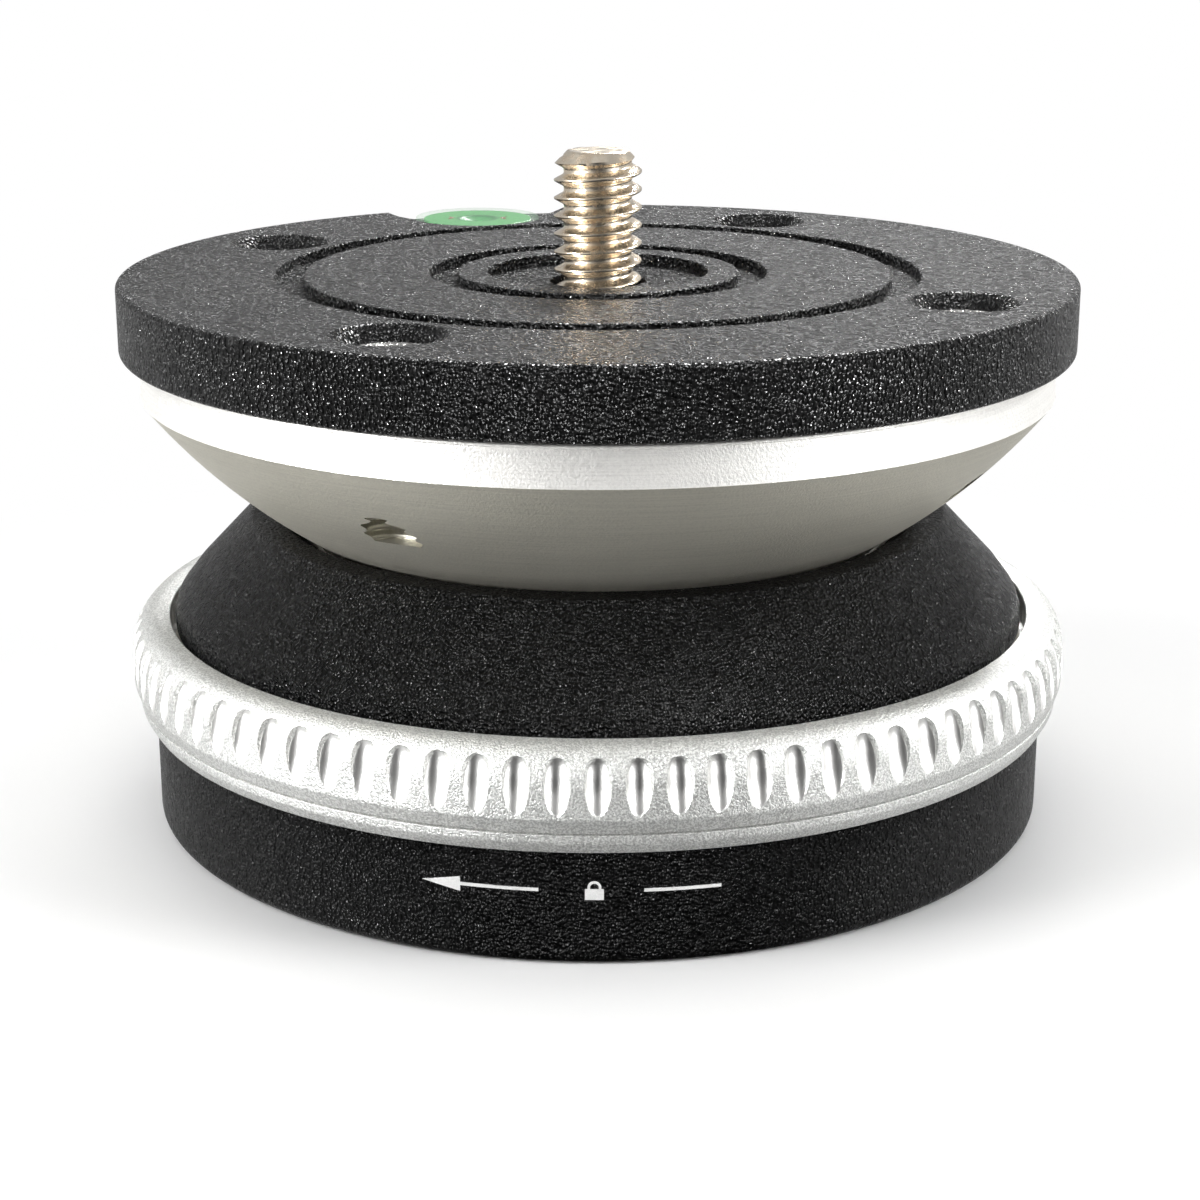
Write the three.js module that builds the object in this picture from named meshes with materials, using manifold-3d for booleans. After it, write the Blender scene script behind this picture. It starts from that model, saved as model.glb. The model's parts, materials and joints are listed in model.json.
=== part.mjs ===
// Tripod levelling head: a round platform on a half ball that tilts in a dished neck and is locked by a fluted
// ring. Millimetres, +Z up, origin at the centre of the foot's underside. Every height is worked out upwards
// from the foot, and every spherical face is centred on the tilt pivot, which lies above the platform.
import * as THREE from "three";
import { mergeVertices } from "three/addons/utils/BufferGeometryUtils.js";
import Module from "manifold-3d";

const wasm = await Module();
wasm.setup();

// General fits
const CLEARANCE = 0.3;
const OVERRUN = 1;
const TILT_LIMIT = 15;

// Fineness, in facets round a circle
const BIG_ROUND = 36;
const MID_ROUND = 28;
const SMALL_ROUND = 20;
const HOLE_ROUND = 12;

// Neck housing
const CHAMBER_RADIUS = 23.6;
const HOUSING_WALL = 4.6;
const HOUSING_RADIUS = CHAMBER_RADIUS + HOUSING_WALL;
const SKIRT_OVERHANG = 2.8;
const SKIRT_RADIUS = HOUSING_RADIUS + SKIRT_OVERHANG;
const SKIRT_HEIGHT = 1;
const SHOULDER_ROUND = 1.3;
const SHOULDER_BULGE_SHARE = 0.77;
const NECK_HEIGHT = 7.8;
const RIM_RADIUS = 25.2;
const RIM_WALL = 1.8;
const RIM_EDGE = 0.3;

// Lock ring
const RING_WALL = 5.7;
const RING_RADIUS = HOUSING_RADIUS + CLEARANCE + RING_WALL;
const RING_HEIGHT = 6.95;
const RING_FOOT_INSET = 0.9;
const RING_FOOT_RADIUS = RING_RADIUS - RING_FOOT_INSET;
const RING_LIP_HEIGHT = 1.25;
const RING_TAPER_HEIGHT = 2.3;
const RING_SHOULDER_HEIGHT = 2.5;
const RING_SHOULDER_WIDTH = 1.9;
const RING_MOUTH_GAP = 0.4;
const RING_MOUTH_RADIUS = SKIRT_RADIUS + RING_MOUTH_GAP;
const RING_MOUTH_DEPTH = 1.9;
const FLUTE_COUNT = 84;
const FLUTE_WIDTH = 1.65;
const FLUTE_HEIGHT = 3.75;
const FLUTE_DEPTH = 0.5;
const FLUTE_MID_HEIGHT = 4.68;
const FLUTE_SIDES = 8;
const FLUTE_STEPS = 2;
const FRONT_ANGLE = 270;

// Foot cup, which the tripod's screw and table bear on
const FOOT_INSET = 1.5;
const FOOT_RADIUS = RING_RADIUS - FOOT_INSET;
const FOOT_HEIGHT = 7.65;
const FOOT_FLOOR = 2.6;
const FOOT_EDGE = 0.8;
const FOOT_EDGE_BULGE_SHARE = 0.3;
const BOSS_RADIUS = 12.5;
const BOSS_HEIGHT = 5.6;
const NOTCH_HEIGHT = 1.8;
const NOTCH_WIDTH = 7.2;
const NOTCH_DEPTH = 1.6;
const NOTCH_ANGLE = -8;

// Steel bush for a 3/8 in tripod screw
const SOCKET_RADIUS = 4.9;
const SOCKET_CHAMFER = 0.5;
const BUSH_RADIUS = 7.6;
const BUSH_COLLAR = 1.8;
const BUSH_HEIGHT = BOSS_HEIGHT + BUSH_COLLAR;
const BUSH_FLANGE_RADIUS = 9.4;
const BUSH_FLANGE_THICKNESS = 1.2;

// Disc springs that push the puller plate up
const SPRING_RADIUS = 11.6;
const SPRING_THICKNESS = 0.5;

// Countersunk screws that hold the foot to the neck housing
const FOOT_SCREW_COUNT = 4;
const FOOT_SCREW_CIRCLE = (CHAMBER_RADIUS + HOUSING_RADIUS) / 2;
const FOOT_SCREW_FIRST_ANGLE = 45;
const FOOT_SCREW_RADIUS = 1.5;
const FOOT_SCREW_HEAD_RADIUS = 2.8;
const FOOT_SCREW_LENGTH = 8.8;
const FOOT_SCREW_SINK = 0.2;

// Slide washers above and below the lock ring
const WASHER_THICKNESS = 0.6;
const CUP_LIP = 1.1;
const LOWER_WASHER_RADIUS = FOOT_RADIUS - CUP_LIP;

// Puller plate and the bolt that draws the clamp disc down
const PULLER_THICKNESS = 3.5;
const PULLER_GAP = 0.9;
const PULLER_HEIGHT = BUSH_HEIGHT + PULLER_GAP;
const PULLER_ROOM = 0.7;
const CHAMBER_ROOF = PULLER_HEIGHT + PULLER_THICKNESS + PULLER_ROOM;
const BOLT_RADIUS = 2.5;
const BOLT_HEAD_RADIUS = 4.6;
const BOLT_HEAD_RIM = 0.4;
const BOLT_TIP_LENGTH = 0.6;
const NUT_RADIUS = 4.6;
const NUT_HEIGHT = 2.7;
const NUT_SIDES = 6;

// Thread-like cam between the ring and the puller plate: the pins ride in three sloping grooves
const PIN_COUNT = 3;
const PIN_FIRST_ANGLE = 90;
const PIN_RADIUS = 1;
const PIN_LIFT = 1.8;
const PIN_HEIGHT = PULLER_HEIGHT + PIN_LIFT;
const PIN_INSERTION = 6.3;
const GROOVE_DEPTH = 2.5;
const CAM_LEAD = 2.4;
const RING_OPEN_ANGLE = 65;
const RING_LOCK_ANGLE = 25;
const ENTRY_ANGLE = 8;
const GROOVE_STEPS = 12;

// Half ball under the platform
const SEAT_RADIUS = 34;
const BALL_WALL = 7.35;
const BALL_RADIUS = SEAT_RADIUS + BALL_WALL;
const CAVITY_MARGIN = 0.8;
const CAVITY_LIP = 0.9;

// Low-friction liners of the two spherical seats
const LINER_THICKNESS = 0.8;
const NECK_LINER_EDGE = 1.8;
const NECK_LINER_WIDTH = 4.4;
const NECK_LINER_OUTER = RIM_RADIUS - RIM_WALL - NECK_LINER_EDGE;
const NECK_LINER_INNER = NECK_LINER_OUTER - NECK_LINER_WIDTH;

// Clamp disc inside the half ball
const CLAMP_RADIUS = 14.5;
const CLAMP_EDGE = 1.3;
const NUT_RECESS_RADIUS = 6.2;

// Platform plate
const PLATE_THICKNESS = 4.85;
const PLATE_OVERHANG = 1.3;
const PLATE_EDGE = 0.35;
const GROOVE_WIDTH = 2;
const GROOVE_SINK = 0.75;
const GROOVE_MARGIN = 0.85;
const RECESS_RADIUS = 7.85;
const BOSS_WIDTH = 2.2;
const INNER_GROOVE_RADIUS = RECESS_RADIUS + BOSS_WIDTH + GROOVE_WIDTH;
const SPIGOT_WALL = 1.4;
const SPIGOT_LENGTH = 2.1;

// 1/4 in stud that the mounted head screws onto
const STUD_RADIUS = 3.13;
const STUD_HEIGHT = 8.5;
const STUD_CHAMFER = 0.6;
const STUD_FLANGE_RADIUS = 6.5;
const STUD_FLANGE_THICKNESS = 1.3;

// Set screws that are driven up against the mounted head
const SET_SCREW_COUNT = 4;
const SET_SCREW_WALL = 3.84;
const SET_SCREW_INSET = 6.4;
const SET_SCREW_FIRST_ANGLE = 62;
const SET_SCREW_BORE = 2.05;
const SET_SCREW_LENGTH = 5;
const SET_SCREW_DEPTH = 5.5;
const SET_SCREW_POINT = 0.6;
const COUNTERSINK_RADIUS = 3.8;

// Round spirit level
const LEVEL_INSET = 5.4;
const LEVEL_ANGLE = 110.2;
const LEVEL_FLANGE_RADIUS = 5.05;
const LEVEL_FLANGE_THICKNESS = 0.45;
const LEVEL_RADIUS = 4.6;
const LEVEL_WALL = 0.45;
const LEVEL_HEIGHT = 2.7;
const LEVEL_BACK_THICKNESS = 0.6;
const SCALLOP_INSET = 3;
const SCALLOP_RADIUS = 7.75;

// Radii of the nested spherical faces, all about the pivot
const dishRadius = BALL_RADIUS + CLEARANCE;
const dishGrooveRadius = dishRadius + LINER_THICKNESS + CLEARANCE;
const clampLinerRadius = SEAT_RADIUS - CLEARANCE;
const clampFaceRadius = clampLinerRadius - LINER_THICKNESS - CLEARANCE;
const boltHole = BOLT_RADIUS + CLEARANCE;
const ringBore = HOUSING_RADIUS + CLEARANCE;
const clampEdgeAngle = toDegrees(Math.asin(CLAMP_RADIUS / clampFaceRadius));
const cavityRadius = clampFaceRadius * Math.sin(toRadians(clampEdgeAngle + TILT_LIMIT)) + CAVITY_MARGIN;

// Radii of the platform, outwards from the cavity
const spigotRadius = cavityRadius + SPIGOT_WALL;
const SET_SCREW_CIRCLE = spigotRadius + SET_SCREW_WALL;
const OUTER_GROOVE_RADIUS = SET_SCREW_CIRCLE - COUNTERSINK_RADIUS - GROOVE_MARGIN;
const PLATE_RADIUS = SET_SCREW_CIRCLE + SET_SCREW_INSET;
const BAND_RADIUS = PLATE_RADIUS - PLATE_OVERHANG;
const LEVEL_CIRCLE = PLATE_RADIUS - LEVEL_INSET;
const SCALLOP_CIRCLE = PLATE_RADIUS - SCALLOP_INSET;

// Heights that follow, upwards from the foot
const rimInner = RIM_RADIUS - RIM_WALL;
const PIVOT_ABOVE_RIM = Math.sqrt(dishRadius ** 2 - rimInner ** 2);
const PLATE_TOP_BELOW_PIVOT = Math.sqrt(SEAT_RADIUS ** 2 - cavityRadius ** 2)
  - CAVITY_LIP - SPIGOT_LENGTH - CLEARANCE - PLATE_THICKNESS;
const ringBottom = FOOT_HEIGHT + CLEARANCE;
const ringTop = ringBottom + RING_HEIGHT;
const ringShelf = ringTop - RING_MOUTH_DEPTH;
const neckBottom = ringShelf + WASHER_THICKNESS + 2 * CLEARANCE;
const rimHeight = neckBottom + NECK_HEIGHT;
const pivotHeight = rimHeight + PIVOT_ABOVE_RIM;
const plateTop = pivotHeight - PLATE_TOP_BELOW_PIVOT;
const plateBottom = plateTop - PLATE_THICKNESS;
const riseOnOpening = (CAM_LEAD * RING_OPEN_ANGLE) / 360;

// Finishes
const blackCoat = finish(0x222224, 0.62, 0.25);
const satinAluminium = finish(0xa9a79c, 0.38, 0.9);
const blastedAluminium = finish(0xd6d9d6, 0.5, 0.85);
const nickelSteel = finish(0xb8aa98, 0.28, 1);
const plainSteel = finish(0x8d9093, 0.4, 1);
const blackSteel = finish(0x1c1c1e, 0.45, 0.7);
const liningPolymer = finish(0xe4e0d2, 0.55, 0);
const clearAcrylic = finish(0xe8f2ec, 0.08, 0);
const levelFluid = finish(0x82d7a0, 0.2, 0);

function finish(color, roughness, metalness) {
  return new THREE.MeshStandardMaterial({ color, roughness, metalness });
}

function toRadians(degrees) {
  return THREE.MathUtils.degToRad(degrees);
}

function toDegrees(radians) {
  return THREE.MathUtils.radToDeg(radians);
}

// Turn a three.js geometry into a solid: shared vertices merged, collapsed triangles dropped
function solidFrom(geometry) {
  geometry.deleteAttribute("normal");
  geometry.deleteAttribute("uv");
  const merged = mergeVertices(geometry);
  const corners = Array.from(merged.index.array);
  const triangles = [];
  for (let first = 0; first < corners.length; first += 3) {
    const [a, b, c] = corners.slice(first, first + 3);
    if (a !== b && b !== c && c !== a) triangles.push(a, b, c);
  }
  const vertProperties = Float32Array.from(merged.attributes.position.array);
  const triVerts = Uint32Array.from(triangles);
  return new wasm.Manifold(new wasm.Mesh({ numProp: 3, vertProperties, triVerts }));
}

// A closed outline of [radius, height] points turned round the Z axis
function revolve(outline, segments) {
  const points = outline.map(([radius, height]) => new THREE.Vector2(radius, height));
  if (THREE.ShapeUtils.isClockWise(points)) points.reverse();
  points.push(points[0].clone());
  const geometry = new THREE.LatheGeometry(points, segments);
  geometry.rotateX(Math.PI / 2);
  return solidFrom(geometry);
}

// A box whose length runs outwards along the radius at the given angle
function radialBlock(innerRadius, outerRadius, width, bottom, top, angle) {
  const geometry = new THREE.BoxGeometry(outerRadius - innerRadius, width, top - bottom);
  geometry.translate((innerRadius + outerRadius) / 2, 0, (bottom + top) / 2);
  geometry.rotateZ(toRadians(angle));
  return solidFrom(geometry);
}

// A cylinder whose axis runs outwards along the radius at the given angle
function radialCylinder(radius, innerRadius, outerRadius, height, angle, segments) {
  const geometry = new THREE.CylinderGeometry(radius, radius, outerRadius - innerRadius, segments);
  geometry.rotateZ(-Math.PI / 2);
  geometry.translate((innerRadius + outerRadius) / 2, 0, height);
  geometry.rotateZ(toRadians(angle));
  return solidFrom(geometry);
}

// A solid through a row of four-cornered sections, closed by its first and last section
function loft(sections) {
  const positions = [];
  const triangles = [];
  const corners = sections[0].length;
  sections.flat().forEach((corner) => positions.push(corner.x, corner.y, corner.z));
  const quad = (a, b, c, d) => triangles.push(a, b, c, a, c, d);
  for (let index = 0; index + 1 < sections.length; index += 1) {
    for (let side = 0; side < corners; side += 1) {
      const here = corners * index + side;
      const beside = corners * index + ((side + 1) % corners);
      quad(here, here + corners, beside + corners, beside);
    }
  }
  const last = corners * (sections.length - 1);
  quad(0, 1, 2, 3);
  quad(last + 3, last + 2, last + 1, last);
  const geometry = new THREE.BufferGeometry();
  geometry.setAttribute("position", new THREE.Float32BufferAttribute(positions, 3));
  geometry.setIndex(triangles);
  return solidFrom(geometry);
}

// Points of a sphere about the pivot, from one distance off the axis to another
function sphereArc(radius, fromOffset, toOffset, steps) {
  const start = Math.asin(fromOffset / radius);
  const end = Math.asin(toOffset / radius);
  return Array.from({ length: steps + 1 }, (_, step) => {
    const angle = start + ((end - start) * step) / steps;
    return [radius * Math.sin(angle), pivotHeight - radius * Math.cos(angle)];
  });
}

// Half-angle, in a spherical wall, of the hole that clears the bolt at full tilt
function boltClearingOffset(radius) {
  return radius * Math.sin(toRadians(TILT_LIMIT) + Math.asin(boltHole / radius));
}

function evenAngles(count, first) {
  return Array.from({ length: count }, (_, index) => first + (360 * index) / count);
}

function moveTo(solid, circle, angle) {
  return solid.translate([circle * Math.cos(toRadians(angle)), circle * Math.sin(toRadians(angle)), 0]);
}

function cutAll(body, cutters) {
  return cutters.reduce((result, cutter) => result.subtract(cutter), body);
}

const head = new THREE.Group();

// Add one named piece to the assembly
function addPiece(name, solid, material) {
  const { numProp, vertProperties, triVerts } = solid.getMesh();
  const geometry = new THREE.BufferGeometry();
  const attribute = new THREE.Float32BufferAttribute(vertProperties, numProp);
  geometry.setAttribute("position", attribute);
  geometry.setIndex(Array.from(triVerts));
  geometry.computeVertexNormals();
  const mesh = new THREE.Mesh(geometry, material);
  mesh.name = name;
  head.add(mesh);
}

// Foot: cup, tripod bush, disc springs and screws

const washerShelf = FOOT_HEIGHT - WASHER_THICKNESS - CLEARANCE;
const bushSeat = BOSS_HEIGHT - BUSH_FLANGE_THICKNESS - CLEARANCE;
const headDepth = FOOT_SCREW_HEAD_RADIUS - FOOT_SCREW_RADIUS;

function footNotch() {
  const radius = (NOTCH_WIDTH ** 2 / 4 + NOTCH_HEIGHT ** 2) / (2 * NOTCH_HEIGHT);
  const inner = FOOT_RADIUS - NOTCH_DEPTH;
  return radialCylinder(radius, inner, FOOT_RADIUS + OVERRUN, NOTCH_HEIGHT - radius, NOTCH_ANGLE, SMALL_ROUND);
}

function footScrewHole() {
  const bore = FOOT_SCREW_RADIUS + CLEARANCE;
  const mouth = FOOT_SCREW_HEAD_RADIUS + CLEARANCE;
  return revolve([
    [0, -OVERRUN], [mouth, -OVERRUN], [mouth, FOOT_SCREW_SINK], [bore, FOOT_SCREW_SINK + headDepth],
    [bore, FOOT_FLOOR + OVERRUN], [0, FOOT_FLOOR + OVERRUN],
  ], HOLE_ROUND);
}

function footCup() {
  const bulge = FOOT_EDGE * FOOT_EDGE_BULGE_SHARE;
  const bushHole = BUSH_RADIUS + CLEARANCE;
  const flangeHole = BUSH_FLANGE_RADIUS + CLEARANCE;
  const washerHole = LOWER_WASHER_RADIUS + CLEARANCE;
  const cup = revolve([
    [bushHole, 0], [FOOT_RADIUS - FOOT_EDGE, 0], [FOOT_RADIUS - bulge, bulge], [FOOT_RADIUS, FOOT_EDGE],
    [FOOT_RADIUS, FOOT_HEIGHT], [washerHole, FOOT_HEIGHT], [washerHole, washerShelf], [ringBore, washerShelf],
    [ringBore, FOOT_FLOOR], [BOSS_RADIUS, FOOT_FLOOR], [BOSS_RADIUS, BOSS_HEIGHT], [flangeHole, BOSS_HEIGHT],
    [flangeHole, bushSeat], [bushHole, bushSeat],
  ], BIG_ROUND);
  const holes = footScrewAngles.map((angle) => moveTo(footScrewHole(), FOOT_SCREW_CIRCLE, angle));
  return cutAll(cup, [footNotch(), ...holes]);
}

function tripodBush() {
  const mouth = SOCKET_RADIUS + SOCKET_CHAMFER;
  return revolve([
    [mouth, 0], [BUSH_RADIUS, 0], [BUSH_RADIUS, bushSeat + CLEARANCE],
    [BUSH_FLANGE_RADIUS, bushSeat + CLEARANCE], [BUSH_FLANGE_RADIUS, BOSS_HEIGHT], [BUSH_RADIUS, BOSS_HEIGHT],
    [BUSH_RADIUS, BUSH_HEIGHT], [SOCKET_RADIUS, BUSH_HEIGHT], [SOCKET_RADIUS, SOCKET_CHAMFER],
  ], SMALL_ROUND);
}

// Two cones laid back to back fill the space between the boss and the puller plate
function discSpring(index) {
  const inner = BUSH_RADIUS + 2 * CLEARANCE;
  const height = (PULLER_HEIGHT - BOSS_HEIGHT - 3 * CLEARANCE) / 2;
  const bottom = BOSS_HEIGHT + CLEARANCE + index * (height + CLEARANCE);
  const rise = height - SPRING_THICKNESS;
  const [innerLift, outerLift] = index === 0 ? [rise, 0] : [0, rise];
  return revolve([
    [inner, bottom + innerLift], [SPRING_RADIUS, bottom + outerLift],
    [SPRING_RADIUS, bottom + outerLift + SPRING_THICKNESS], [inner, bottom + innerLift + SPRING_THICKNESS],
  ], SMALL_ROUND);
}

function footScrew() {
  const top = FOOT_SCREW_SINK + FOOT_SCREW_LENGTH;
  return revolve([
    [0, FOOT_SCREW_SINK], [FOOT_SCREW_HEAD_RADIUS, FOOT_SCREW_SINK],
    [FOOT_SCREW_RADIUS, FOOT_SCREW_SINK + headDepth], [FOOT_SCREW_RADIUS, top], [0, top],
  ], HOLE_ROUND);
}

const footScrewAngles = evenAngles(FOOT_SCREW_COUNT, FOOT_SCREW_FIRST_ANGLE);
addPiece("foot_cup", footCup(), blackCoat);
addPiece("tripod_bush", tripodBush(), plainSteel);
addPiece("disc_spring_lower", discSpring(0), blackSteel);
addPiece("disc_spring_upper", discSpring(1), blackSteel);
footScrewAngles.forEach((angle, index) => {
  addPiece(`foot_screw_${index + 1}`, moveTo(footScrew(), FOOT_SCREW_CIRCLE, angle), blackSteel);
});

// Neck housing: dished seat, cone and slotted wall

const wallBottom = FOOT_FLOOR + CLEARANCE;
const pinAngles = evenAngles(PIN_COUNT, PIN_FIRST_ANGLE);
const pinHole = PIN_RADIUS + CLEARANCE;

function neckCone() {
  const skirtTop = neckBottom + SKIRT_HEIGHT;
  const bulge = SHOULDER_ROUND * SHOULDER_BULGE_SHARE;
  return [
    [RIM_RADIUS - RIM_EDGE, rimHeight], [RIM_RADIUS, rimHeight - RIM_EDGE],
    [SKIRT_RADIUS - SHOULDER_ROUND, skirtTop + SHOULDER_ROUND + bulge],
    [SKIRT_RADIUS - SHOULDER_ROUND + bulge, skirtTop + bulge], [SKIRT_RADIUS, skirtTop],
    [SKIRT_RADIUS, neckBottom],
  ];
}

function neckDish() {
  const grooveInner = NECK_LINER_INNER - CLEARANCE;
  const grooveOuter = NECK_LINER_OUTER + CLEARANCE;
  return [
    ...sphereArc(dishRadius, boltHole, grooveInner, 3),
    ...sphereArc(dishGrooveRadius, grooveInner, grooveOuter, 1),
    ...sphereArc(dishRadius, grooveOuter, rimInner, 1),
  ];
}

function neckHousing() {
  const shell = revolve([
    ...neckDish(), ...neckCone(), [HOUSING_RADIUS, neckBottom], [HOUSING_RADIUS, wallBottom],
    [CHAMBER_RADIUS, wallBottom], [CHAMBER_RADIUS, CHAMBER_ROOF], [boltHole, CHAMBER_ROOF],
  ], BIG_ROUND);
  const slotTop = PIN_HEIGHT + pinHole + riseOnOpening;
  const slots = pinAngles.map((angle) => radialBlock(
    CHAMBER_RADIUS - OVERRUN, HOUSING_RADIUS + OVERRUN, 2 * pinHole, wallBottom - OVERRUN, slotTop, angle));
  const depth = FOOT_SCREW_SINK + FOOT_SCREW_LENGTH + CLEARANCE;
  const bore = FOOT_SCREW_RADIUS + CLEARANCE;
  const tapped = footScrewAngles.map((angle) => moveTo(revolve([
    [0, wallBottom - OVERRUN], [bore, wallBottom - OVERRUN], [bore, depth], [0, depth],
  ], HOLE_ROUND), FOOT_SCREW_CIRCLE, angle));
  return cutAll(shell, [...slots, ...tapped]);
}

function washer(inner, outer, bottom) {
  const top = bottom + WASHER_THICKNESS;
  return revolve([[inner, bottom], [outer, bottom], [outer, top], [inner, top]], MID_ROUND);
}

addPiece("neck_housing", neckHousing(), blackCoat);
addPiece("lower_slide_washer", washer(ringBore + CLEARANCE, LOWER_WASHER_RADIUS, washerShelf + CLEARANCE),
  liningPolymer);
addPiece("upper_slide_washer", washer(ringBore, RING_MOUTH_RADIUS - CLEARANCE, ringShelf + CLEARANCE),
  liningPolymer);

// Lock ring: fluted outside, three sloping cam grooves inside

function ringOutside() {
  const shoulder = ringTop - RING_SHOULDER_HEIGHT;
  const lipRadius = (RING_FOOT_RADIUS + RING_RADIUS) / 2;
  const shoulderShares = [[0.3, 0.68], [1, 1]];
  return [
    [0, ringBottom], [RING_FOOT_RADIUS, ringBottom], [lipRadius, ringBottom + RING_LIP_HEIGHT],
    [RING_RADIUS, ringBottom + RING_TAPER_HEIGHT], [RING_RADIUS, shoulder],
    ...shoulderShares.map(([inward, upward]) => [
      RING_RADIUS - inward * RING_SHOULDER_WIDTH, shoulder + upward * RING_SHOULDER_HEIGHT]),
    [0, ringTop],
  ];
}

function ringInside() {
  const above = ringTop + OVERRUN;
  const below = ringBottom - OVERRUN;
  return [
    [0, below], [ringBore, below], [ringBore, ringShelf], [RING_MOUTH_RADIUS, ringShelf],
    [RING_MOUTH_RADIUS, above], [0, above],
  ];
}

// Spindle with round sides and tapering ends that scoops one flute
function fluteCutter() {
  const radius = (FLUTE_WIDTH ** 2 / 4 + FLUTE_DEPTH ** 2) / (2 * FLUTE_DEPTH);
  const sweep = (FLUTE_HEIGHT ** 2 / 4 + FLUTE_DEPTH ** 2) / (2 * FLUTE_DEPTH);
  const mid = ringBottom + FLUTE_MID_HEIGHT;
  const side = Array.from({ length: FLUTE_STEPS + 1 }, (_, step) => {
    const offset = FLUTE_HEIGHT * (step / FLUTE_STEPS - 1 / 2);
    return [radius - sweep + Math.sqrt(sweep ** 2 - offset ** 2), mid + offset];
  });
  const tip = FLUTE_HEIGHT / 2 + (radius - FLUTE_DEPTH);
  const spindle = revolve([[0, mid - tip], ...side, [0, mid + tip]], FLUTE_SIDES);
  return spindle.rotate([0, 0, 180 / FLUTE_SIDES]).translate([RING_RADIUS + radius - FLUTE_DEPTH, 0, 0]);
}

// One cam groove, from the end stop on the open side to past the locked side, with its way in from above
function camGroove(pinAngle) {
  const half = pinHole;
  const outer = ringBore + GROOVE_DEPTH;
  const pinHalfAngle = toDegrees(Math.asin(half / ringBore));
  const first = -RING_OPEN_ANGLE - pinHalfAngle;
  const last = RING_LOCK_ANGLE + ENTRY_ANGLE + pinHalfAngle;
  const sections = Array.from({ length: GROOVE_STEPS + 1 }, (_, step) => {
    const turn = first + ((last - first) * step) / GROOVE_STEPS;
    const height = PIN_HEIGHT - (CAM_LEAD * turn) / 360;
    const direction = toRadians(pinAngle + turn);
    const corner = (radius, lift) => new THREE.Vector3(
      radius * Math.cos(direction), radius * Math.sin(direction), height + lift);
    const inner = ringBore - OVERRUN;
    return [corner(inner, -half), corner(outer, -half), corner(outer, half), corner(inner, half)];
  });
  const entry = radialBlock(ringBore - OVERRUN, outer, 2 * half, PIN_HEIGHT, ringShelf + OVERRUN,
    pinAngle + RING_LOCK_ANGLE + ENTRY_ANGLE);
  return loft(sections).add(entry);
}

function lockRing() {
  const blank = revolve(ringOutside(), FLUTE_COUNT).rotate([0, 0, 180 / FLUTE_COUNT]);
  const cutter = fluteCutter();
  const flutes = evenAngles(FLUTE_COUNT, FRONT_ANGLE).map((angle) => cutter.rotate([0, 0, angle]));
  return cutAll(blank, [revolve(ringInside(), BIG_ROUND), ...flutes, ...pinAngles.map(camGroove)]);
}

addPiece("lock_ring", lockRing(), blastedAluminium);

// Puller: plate with three follower pins, bolt, nut and clamp disc

const pinInner = CHAMBER_RADIUS - CLEARANCE - PIN_INSERTION;
const boltHeadDepth = BOLT_HEAD_RADIUS - BOLT_RADIUS;
const clampTop = pivotHeight - Math.sqrt(clampFaceRadius ** 2 - CLAMP_RADIUS ** 2) + CLAMP_EDGE;
const nutSeat = clampTop - CLAMP_EDGE;
const nutTop = nutSeat + CLEARANCE + NUT_HEIGHT;

function pullerPlate() {
  const headHole = BOLT_HEAD_RADIUS + CLEARANCE;
  const plate = revolve([
    [headHole, PULLER_HEIGHT], [CHAMBER_RADIUS - CLEARANCE, PULLER_HEIGHT],
    [CHAMBER_RADIUS - CLEARANCE, PULLER_HEIGHT + PULLER_THICKNESS], [boltHole, PULLER_HEIGHT + PULLER_THICKNESS],
    [boltHole, PULLER_HEIGHT + BOLT_HEAD_RIM + boltHeadDepth], [headHole, PULLER_HEIGHT + BOLT_HEAD_RIM],
  ], MID_ROUND);
  const holes = pinAngles.map((angle) => radialCylinder(
    pinHole, pinInner - CLEARANCE, CHAMBER_RADIUS + OVERRUN, PIN_HEIGHT, angle, HOLE_ROUND));
  return cutAll(plate, holes);
}

function followerPin(angle) {
  const outer = ringBore + GROOVE_DEPTH - CLEARANCE;
  return radialCylinder(PIN_RADIUS, pinInner, outer, PIN_HEIGHT, angle, HOLE_ROUND);
}

function pullBolt() {
  const tip = nutTop + BOLT_TIP_LENGTH;
  return revolve([
    [0, PULLER_HEIGHT], [BOLT_HEAD_RADIUS, PULLER_HEIGHT], [BOLT_HEAD_RADIUS, PULLER_HEIGHT + BOLT_HEAD_RIM],
    [BOLT_RADIUS, PULLER_HEIGHT + BOLT_HEAD_RIM + boltHeadDepth], [BOLT_RADIUS, tip], [0, tip],
  ], HOLE_ROUND);
}

function clampDisc() {
  return revolve([
    ...sphereArc(clampFaceRadius, boltHole, CLAMP_RADIUS, 3), [CLAMP_RADIUS, clampTop],
    [NUT_RECESS_RADIUS, clampTop], [NUT_RECESS_RADIUS, nutSeat], [boltHole, nutSeat],
  ], MID_ROUND);
}

function clampNut() {
  const bottom = nutSeat + CLEARANCE;
  const hexagon = revolve([[0, bottom], [NUT_RADIUS, bottom], [NUT_RADIUS, nutTop], [0, nutTop]], NUT_SIDES);
  const above = nutTop + OVERRUN;
  const below = bottom - OVERRUN;
  return hexagon.subtract(revolve([[0, below], [boltHole, below], [boltHole, above], [0, above]], HOLE_ROUND));
}

addPiece("puller_plate", pullerPlate(), plainSteel);
pinAngles.forEach((angle, index) => {
  addPiece(`follower_pin_${index + 1}`, followerPin(angle), plainSteel);
});
addPiece("pull_bolt", pullBolt(), blackSteel);
addPiece("clamp_disc", clampDisc(), plainSteel);
addPiece("clamp_nut", clampNut(), plainSteel);

// Liners of the two spherical seats

function sphericalLiner(inner, fromOffset, toOffset) {
  const outer = inner + LINER_THICKNESS;
  const grown = outer / inner;
  return revolve([
    ...sphereArc(inner, fromOffset, toOffset, 3),
    ...sphereArc(outer, fromOffset * grown, toOffset * grown, 3).reverse(),
  ], MID_ROUND);
}

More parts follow.
